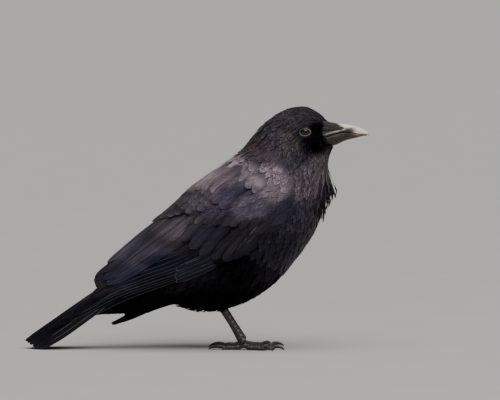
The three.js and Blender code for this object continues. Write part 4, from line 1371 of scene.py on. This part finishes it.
def bill_finish():
    finish = Finish("bill_horn")
    point = finish.place()
    x, _, z = finish.split(point)
    grain = finish.noise(point, (0.14, 1.1, 1.1), 4, 0.6)
    patches = finish.noise(point, (0.12, 0.4, 0.4), 3, 0.6)
    scratches = finish.noise(point, (0.3, 3.5, 3.5), 3, 0.7)
    # painted highlight: the horn is painted paler the higher it lies, so ridge and front are wear and painted
    # highlight, and the lip and jaw lines are painted highlights
    height = z + (patches - 0.5) * 3
    ridge = height.step(239.5, 245) * x.step(148, 162)
    front = height.step(231, 238) * x.step(166, 180)
    lip = (1 - abs(z - (x - 145) * 0.26 - 236.6).step(0.5, 1.8)) * x.step(138, 146) * (1 - x.step(162, 172))
    jaw = (1 - abs(z - (x - 143) * 0.24 - 231.6).step(0.4, 1.8)) * x.step(138, 143) * (1 - x.step(156, 168))
    wear_and_highlight = ridge.most(front).most(lip * 0.62).most(jaw * 0.3) + (grain - 0.5) * 1.1 - 0.03
    dark, mid, pale = (0.020, 0.017, 0.015), (0.105, 0.083, 0.073), (0.78, 0.64, 0.54)
    colour = finish.ramp(wear_and_highlight, [(0.0, dark), (0.4, mid), (0.95, pale)])
    stain = x.step(164, 176) * (1 - z.step(233.5, 238)) * patches.step(0.45, 0.6)
    return finish.feed({
        "Base Color": finish.mix(stain * 0.8, colour, (0.10, 0.045, 0.025)),
        "Roughness": scratches * 0.25 + 0.28,
        "Normal": finish.bump(grain * 0.6 + scratches * 0.4, 0.18, 0.8),
        "Specular IOR Level": 0.5,
    })


horn = bill_finish()
finished(lofted("bill_upper_horn", 56, 64, upper_bill), "bill", horn, "bill_upper")
finished(lofted("bill_lower_horn", 56, 56, lower_bill), "bill", horn, "bill_lower")
finished(lofted("mouth_lining", 24, 48, mouth_lining), "bill", mouth_finish())

# %% [markdown]
# Stiff bristles grow forward over the nostrils and hide the bill's root. They are narrow quills laid along a
# pad on each side, the only feathers here that point at the tip of the bill. The pad's line runs forward, so
# the same helpers that lay the coat lay these the other way.

# %% Nasal bristles
BRISTLE_PAD = {
    "line": [(136, 9.2, 245), (145, 8.6, 244), (155, 7.2, 243), (165, 5.6, 242.6)],
    "fore": [6.2, 5.4, 3.9, 1.8],
    "sideways": [2.6, 2.2, 1.8, 0.8],
}
bristle_finish = feather_finish("bristle_feathers", colour=(0.07, 0.057, 0.05), barbs=10, slant=2, rim=0.3,
                                rough=0.45, tone_reach=1.2, tint=(1.0, 0.95, 0.9))
BRISTLE = {"sink": 0.5, "thick": 0.2, "widths": [0.8, 1, 0.9, 0.6, 0.15]}

for number, (name, side) in enumerate(SIDES.items()):
    bristles = Coat(f"nasal_bristles_{name}_quills", 70 + number)
    pad = Limb(**BRISTLE_PAD, side=side)
    root = rows(pad, -0.1, 0.52, 2.2, 1.3, bristles.rng)
    tip = bristles.aim(pad, root, bristles.rng.uniform(10, 14, len(root)), sway=5)
    bristles.lay(pad, root, tip, 0.62, lift=0.35, cup=0.5, bow=0.4, **BRISTLE)
    bristles.build("body_feathers", bristle_finish, f"nasal_bristles_{name}")

chin = Coat("chin_quills", 72)
pad = Limb([(136, 0, 224.5), (143, 0, 225.5), (150, 0, 227)], [6, 4.4, 2.6], [7, 5.5, 3])
root = rows(pad, -0.1, 0.7, 2.2, 1.8, chin.rng)
tip = chin.aim(pad, root, 9, sway=5)
chin.lay(pad, root, tip, 0.8, lift=0.3, cup=0.3, **BRISTLE)
chin.build("body_feathers", velvet)

# %% [markdown]
# A crow's eye is dark brown with a black pupil, set deep enough for the lids to run over the ball. The
# cornea bulges a little over the pupil, and a clear coat makes the wet highlight.

# %% Eyeballs
EYE_Y = 16.4
CORNEA = 0.35  # how far the cornea bulges
PUPIL, IRIS, RIM = (0.0004, 0.0004, 0.0004), (0.006, 0.003, 0.002), (0.001, 0.001, 0.001)
EYE_RAMP = [(0.0, PUPIL), (0.3, PUPIL), (0.34, IRIS), (0.5, (0.014, 0.007, 0.005)), (0.6, RIM)]


def eye_finish():
    finish = Finish("eye")
    x, _, z = finish.split(finish.place())
    across, up = x - EYE["x"], z - EYE["z"]
    far = (across * across + up * up) ** 0.5
    rays = finish.noise(finish.join(across * 2.0, up * 2.0, 0.0), detail=3, rough=0.6)
    colour = finish.ramp(far * (1 / EYE["radius"]) + (rays - 0.5) * 0.06, EYE_RAMP)
    gloss = {"Roughness": 0.3, "Specular IOR Level": 0.0, "Coat Weight": 1.0, "Coat Roughness": 0.02}
    return finish.feed({"Base Color": colour, **gloss})


def eyeball(side):
    def placed(t, turn):
        radius = EYE["radius"] + CORNEA * smooth(0.75, 1.0, np.abs(np.cos(t * math.pi)))
        out = radius * np.cos(t * math.pi)
        ring = radius * np.sin(t * math.pi)
        x, z = EYE["x"] + ring * np.cos(turn), EYE["z"] + ring * np.sin(turn)
        return np.stack([x, side * (EYE_Y + out), z], -1)
    return placed


print("eye:", 2 * EYE["radius"], "mm across")

# %% [markdown]
# A thin pale rim of bare skin goes round each eye, longer than it is high. It is one ring with a section of
# its own: on the ball at its inner edge, on the bird's face at its outer edge, with small folds between.

# %% Eyes and eyelids
LID_ROUNDS, LID_FOLDS = 96, 31
LID = {"inner": (5.5, 3.6), "outer": (8.8, 7.0), "tilt": -6}
LID_SECTION = [  # share outwards and height over the ball and the face, going round the lid's thickness
    (0.0, 0.10), (0.03, 0.42), (0.10, 0.62), (0.19, 0.58), (0.28, 0.30), (0.42, 0.12), (0.7, -0.1),
    (1.0, -0.7), (1.0, -1.6), (0.6, -1.6), (0.25, -1.3), (0.04, -0.7),
]


def lid(name, side):
    """The rim of bare skin round the eye: a grid closed both ways into a ring."""
    section = len(LID_SECTION)
    bm = bmesh.new()
    bmesh.ops.create_grid(bm, x_segments=LID_ROUNDS, y_segments=section, size=0.5)
    grid = np.array([v.co for v in bm.verts]) + 0.5
    turn = grid[:, 0] * 2 * math.pi
    index = np.round(grid[:, 1] * section).astype(int) % section
    out, lift = np.array(LID_SECTION)[index].T
    (wide, high), (wide_out, high_out) = LID["inner"], LID["outer"]
    across = (wide + (wide_out - wide) * out) * np.cos(turn)
    up = (high + (high_out - high) * out) * np.sin(turn)
    lean = math.radians(LID["tilt"])
    x = EYE["x"] + across * math.cos(lean) - up * math.sin(lean)
    z = EYE["z"] + across * math.sin(lean) + up * math.cos(lean)
    reach = EYE["radius"] + CORNEA
    ball = EYE_Y + np.sqrt(np.maximum(reach**2 - (x - EYE["x"]) ** 2 - (z - EYE["z"]) ** 2, 1.0))
    cheek = np.abs(body.point(body.find(np.stack([x, z], -1), 1))[:, 1])
    folds = 0.10 * np.sin(turn * LID_FOLDS) * smooth(0.05, 0.2, out) * (1 - smooth(0.3, 0.6, out))
    y = ball + (cheek - ball) * smooth(0.1, 0.75, out) + lift + folds
    for vert, point in zip(bm.verts, np.stack([x, side * y, z], -1) * MM):
        vert.co = point
    return bmesh_piece(f"eyelid_{name}", bm)


def lid_finish():
    finish = Finish("bare_eyelid")
    point = finish.place()
    grain = finish.noise(point, 1.6, 3, 0.6)
    x, _, z = finish.split(point)
    across, up = (x - EYE["x"]) * (1 / LID["inner"][0]), (z - EYE["z"]) * (1 / LID["inner"][1])
    far = (across * across + up * up) ** 0.5
    rim = 1 - far.step(1.12, 1.21)
    low = 1 - z.step(EYE["z"] - 3, EYE["z"] + 5)
    bare = finish.mix(low * 0.6 + grain * 0.4, (0.09, 0.077, 0.073), (0.38, 0.325, 0.31))
    colour = finish.mix(rim, (0.006, 0.005, 0.005), bare)
    return finish.feed({"Base Color": colour, "Roughness": 0.5, "Specular IOR Level": 0.15,
                        "Normal": finish.bump(grain, 0.15, 0.8)})


wet_eye, bare_lid = eye_finish(), lid_finish()
for name, side in SIDES.items():
    finished(lofted(f"eyeball_{name}", 48, 40, eyeball(side)), "eyes", wet_eye, f"eye_{name}")
    finished(lid(name, side), "body_feathers", bare_lid)

# %% [markdown]
# The legs are thin and black, sheathed in horn. Broad plates overlap down the front of the shank and over
# the toes like tiles. Real relief makes the plates, because they break the outline.

# %% Shanks
STANCE = 23
HEEL, FOOT = (26.5, 51.5), (53, 6.5)
TARSUS = {"fore": [3.9, 3.4, 4.6], "sideways": [3, 2.6, 4.6]}
SHANK_PLATES, TOE_PLATES = 10, 9
PLATE_RISE = {"shank": 0.1, "toe": 0.13}  # as shares of the thickness


def plates(t, count, front):
    """A saw of overlapping plates, 0 to 1, where front is 1."""
    share = (t * count) % 1
    return (share**1.5 * (1 - smooth(0.9, 1.0, share)) + 0.1) * front


def shank_plates(t, turn):
    return plates(t, SHANK_PLATES, smooth(-0.1, 0.5, -np.cos(turn)))


def toe_plates(t, turn):
    return plates(t, TOE_PLATES, smooth(-0.2, 0.4, np.cos(turn)))


def shank(side):
    halfway = [(heel + foot) / 2 for heel, foot in zip(HEEL, FOOT)]
    line = [(HEEL[0] - 1, STANCE, HEEL[1]), (halfway[0], STANCE, halfway[1]), (FOOT[0], STANCE, FOOT[1])]
    limb = Limb(line, **TARSUS, side=side)

    def placed(t, turn):
        middle = through(limb.line, t)
        swell = rounded(t, 0.08, 0.08) * (1 + PLATE_RISE["shank"] * shank_plates(t, turn))
        return middle + (limb.at(t, turn) - middle) * swell[:, None]
    return placed


print("shank:", round(math.dist(HEEL, FOOT), 1), "mm long")

# %% [markdown]
# Three toes point forward and one back, each with three pads under it, and each ends in a claw that curves
# down to the ground. Whatever would go below the ground is pressed flat on it, as a sole is.

# %% Toes and claws
TOE_OUT = 5
TOES = {  # heading, length, claw length and half thickness
    "middle": (0, 34, 11, 3.1),
    "inner": (24, 25, 10, 2.8),
    "outer": (-24, 27, 9.5, 2.8),
    "hind": (180, 24, 15, 3.2),
}
TOE_HEIGHTS = [(0, 5.2), (0.3, 2.1), (0.65, 1.9), (1, 1.8)]
TOE_PADS = 3
CLAW_HEIGHTS = [(0, 2.7), (0.4, 3.8), (0.78, 2.4), (1, 0)]
CLAW_RADII = [2.1, 1.9, 1.2, 0.4]
CLAW_OVERLAP = 2.5  # how far the claw's root sits inside the toe


def toe_line(toe, side, stations):
    heading = math.radians(TOE_OUT - toe[0])
    ahead, out = math.cos(heading), math.sin(heading)
    return [(FOOT[0] + far * ahead, side * (STANCE + far * out), z) for far, z in stations]


def toe_frame(line, t):
    forward = course(line, t)
    flank = unit(np.stack([-forward[:, 1], forward[:, 0], 0 * t], -1))
    return through(line, t), forward, flank


def toe_form(toe, side):
    line = toe_line(toe, side, [(share * toe[1], z) for share, z in TOE_HEIGHTS])

    def placed(t, turn):
        middle, _, flank = toe_frame(line, t)
        pads = 1 + 0.1 * np.cos(t * 2 * math.pi * TOE_PADS)
        size = toe[3] * (1 - 0.22 * t) * pads * rounded(t, 0.1, 0.1)
        size = size * (1 + PLATE_RISE["toe"] * toe_plates(t, turn))
        rise = np.where(np.cos(turn) > 0, np.cos(turn), power(np.cos(turn), 0.5))
        point = middle + flank * (np.sin(turn) * size)[:, None]
        point[:, 2] = np.maximum(point[:, 2] + rise * size, 0)
        return point
    return placed


def claw_form(toe, side):
    start, reach = toe[1] - CLAW_OVERLAP, toe[2] + CLAW_OVERLAP
    line = toe_line(toe, side, [(start + share * reach, z) for share, z in CLAW_HEIGHTS])

    def placed(t, turn):
        middle, forward, flank = toe_frame(line, t)
        up = unit(np.cross(forward, flank))
        size = through(CLAW_RADII, t) * rounded(t, 0.1, 0.08)
        point = middle + flank * (np.sin(turn) * size * 0.8)[:, None] + up * (np.cos(turn) * size)[:, None]
        point[:, 2] = np.maximum(point[:, 2], 0)
        return point
    return placed


print("toes with their claws, in mm:", {name: toe[1] + toe[2] for name, toe in TOES.items()})

# %% [markdown]
# The horn of the legs is nearly black. The rims of the plates down the front are painted a pale grey brown,
# which is partly wear and partly a painted highlight where the light catches them. Between the plates the
# skin is a net of small scales. The claws are smoother, with a grain that runs along them.

# %% Legs and feet
def leg_finish():
    finish = Finish("leg_scales")
    point = finish.place()
    plate_rim_highlight_and_wear = finish.kept("plate_rim_highlight_and_wear")
    feature = {"feature": "DISTANCE_TO_EDGE"}
    cells = finish.node("ShaderNodeTexVoronoi", feature, {"Vector": point, "Scale": 0.9})
    wear_and_highlight = finish.noise(point, 0.35, 4, 0.65)
    dust = finish.noise(point, 1.7, 3, 0.6)
    colour = finish.mix(wear_and_highlight.step(0.35, 0.7), (0.010, 0.009, 0.009), (0.036, 0.029, 0.027))
    # painted highlight and wear: the rims of the plates down the front are painted a pale grey brown
    edge = plate_rim_highlight_and_wear.step(0.45, 0.85) * (wear_and_highlight.step(0.3, 0.6) * 0.6 + 0.4)
    small = cells.step(0.0, 0.2) * (1 - plate_rim_highlight_and_wear.step(0.05, 0.1)) * 0.5
    return finish.feed({
        "Base Color": finish.mix(edge.most(dust.step(0.55, 0.8) * 0.4), colour, (0.14, 0.117, 0.107)),
        "Roughness": dust * 0.2 + 0.32,
        "Normal": finish.bump(small + dust * 0.3, 0.22, 0.8),
    })


def claw_finish():
    finish = Finish("claw_horn")
    grain = finish.noise(finish.place(), (0.4, 2.0, 2.0), 3, 0.6)
    return finish.feed({
        "Base Color": finish.mix(grain, (0.008, 0.008, 0.009), (0.035, 0.031, 0.03)),
        "Roughness": grain * 0.2 + 0.25,
        "Normal": finish.bump(grain, 0.1, 0.6),
    })


scales, claw_horn = leg_finish(), claw_finish()
for name, side in SIDES.items():
    finished(lofted(f"shank_{name}", 36, 130, shank(side), shank_plates), "legs", scales, f"tarsus_{name}")
    for toe_name, toe in TOES.items():
        place = f"{toe_name}_{name}"
        scaled_toe = lofted(f"scaled_toe_{place}", 28, 90, toe_form(toe, side), toe_plates)
        finished(scaled_toe, "legs", scales, f"toe_{place}")
        claw = lofted(f"horn_claw_{place}", 20, 32, claw_form(toe, side))
        finished(claw, "claws", claw_horn, f"claw_{place}")

# %% [markdown]
# The stage is a plain pale floor under soft light. One broad light hangs above and a little behind, as an
# overcast sky does, so the back shines and the belly falls into shade. The camera looks from the bird's right
# with a long lens, a little above level, and frames it whole.

# %% Stage, light and camera
VIEW = {"x": 60, "z": 163.4, "width": 550, "distance": 5000, "elevation": 2.6}
SENSOR = 36
FLOOR_REACH = 400


def pale_floor():
    bm = bmesh.new()
    bmesh.ops.create_grid(bm, x_segments=8, y_segments=8, size=FLOOR_REACH)
    floor = bmesh_piece("floor", bm)
    bpy.context.scene.collection.objects.link(floor)
    finish = Finish("pale_floor")
    cloud = finish.noise(finish.place(), 0.01, 3)
    colour = finish.mix(cloud, (0.40, 0.39, 0.38), (0.43, 0.42, 0.41))
    paint = finish.feed({"Base Color": colour, "Roughness": 0.85, "Specular IOR Level": 0.2})
    floor.data.materials.append(paint)
    floor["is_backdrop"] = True


def light(name, kind, place, **settings):
    """A light at a place in metres, turned towards the bird's middle."""
    lamp = bpy.data.lights.new(name, kind)
    for key, value in settings.items():
        setattr(lamp, key, value)
    made = bpy.data.objects.new(name, lamp)
    made.location = place
    made.rotation_euler = (Vector((0, 0, 0.15)) - Vector(place)).to_track_quat("-Z", "Y").to_euler()
    bpy.context.scene.collection.objects.link(made)


def pale_world():
    world = bpy.data.worlds.new("studio")
    world.use_nodes = True
    sky = world.node_tree.nodes["Background"]
    sky.inputs["Color"].default_value = (0.86, 0.85, 0.84, 1)
    sky.inputs["Strength"].default_value = 0.2
    bpy.context.scene.world = world


def camera():
    lens = bpy.data.cameras.new("camera")
    lens.sensor_width = SENSOR
    lens.lens = SENSOR * VIEW["distance"] / VIEW["width"]
    lens.clip_end = 2 * FLOOR_REACH
    eye = bpy.data.objects.new("camera", lens)
    dip = math.radians(VIEW["elevation"])
    back = np.array([0, -math.cos(dip), math.sin(dip)]) * VIEW["distance"]
    eye.location = (np.array([VIEW["x"], 0, VIEW["z"]]) + back) * MM
    eye.rotation_euler = (math.pi / 2 - dip, 0, 0)
    bpy.context.scene.collection.objects.link(eye)
    bpy.context.scene.camera = eye


pale_floor()
pale_world()
light("sky", "SUN", (0.3, -0.7, 2.4), energy=3.6, angle=math.radians(70))
light("window", "AREA", (0.9, -1.6, 1.5), energy=6, shape="DISK", size=0.7)
camera()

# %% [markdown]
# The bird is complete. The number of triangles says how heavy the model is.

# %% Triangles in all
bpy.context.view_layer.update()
total = 0
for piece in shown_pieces():
    piece.data.calc_loop_triangles()
    total += len(piece.data.loop_triangles)
print("triangles in all:", total)
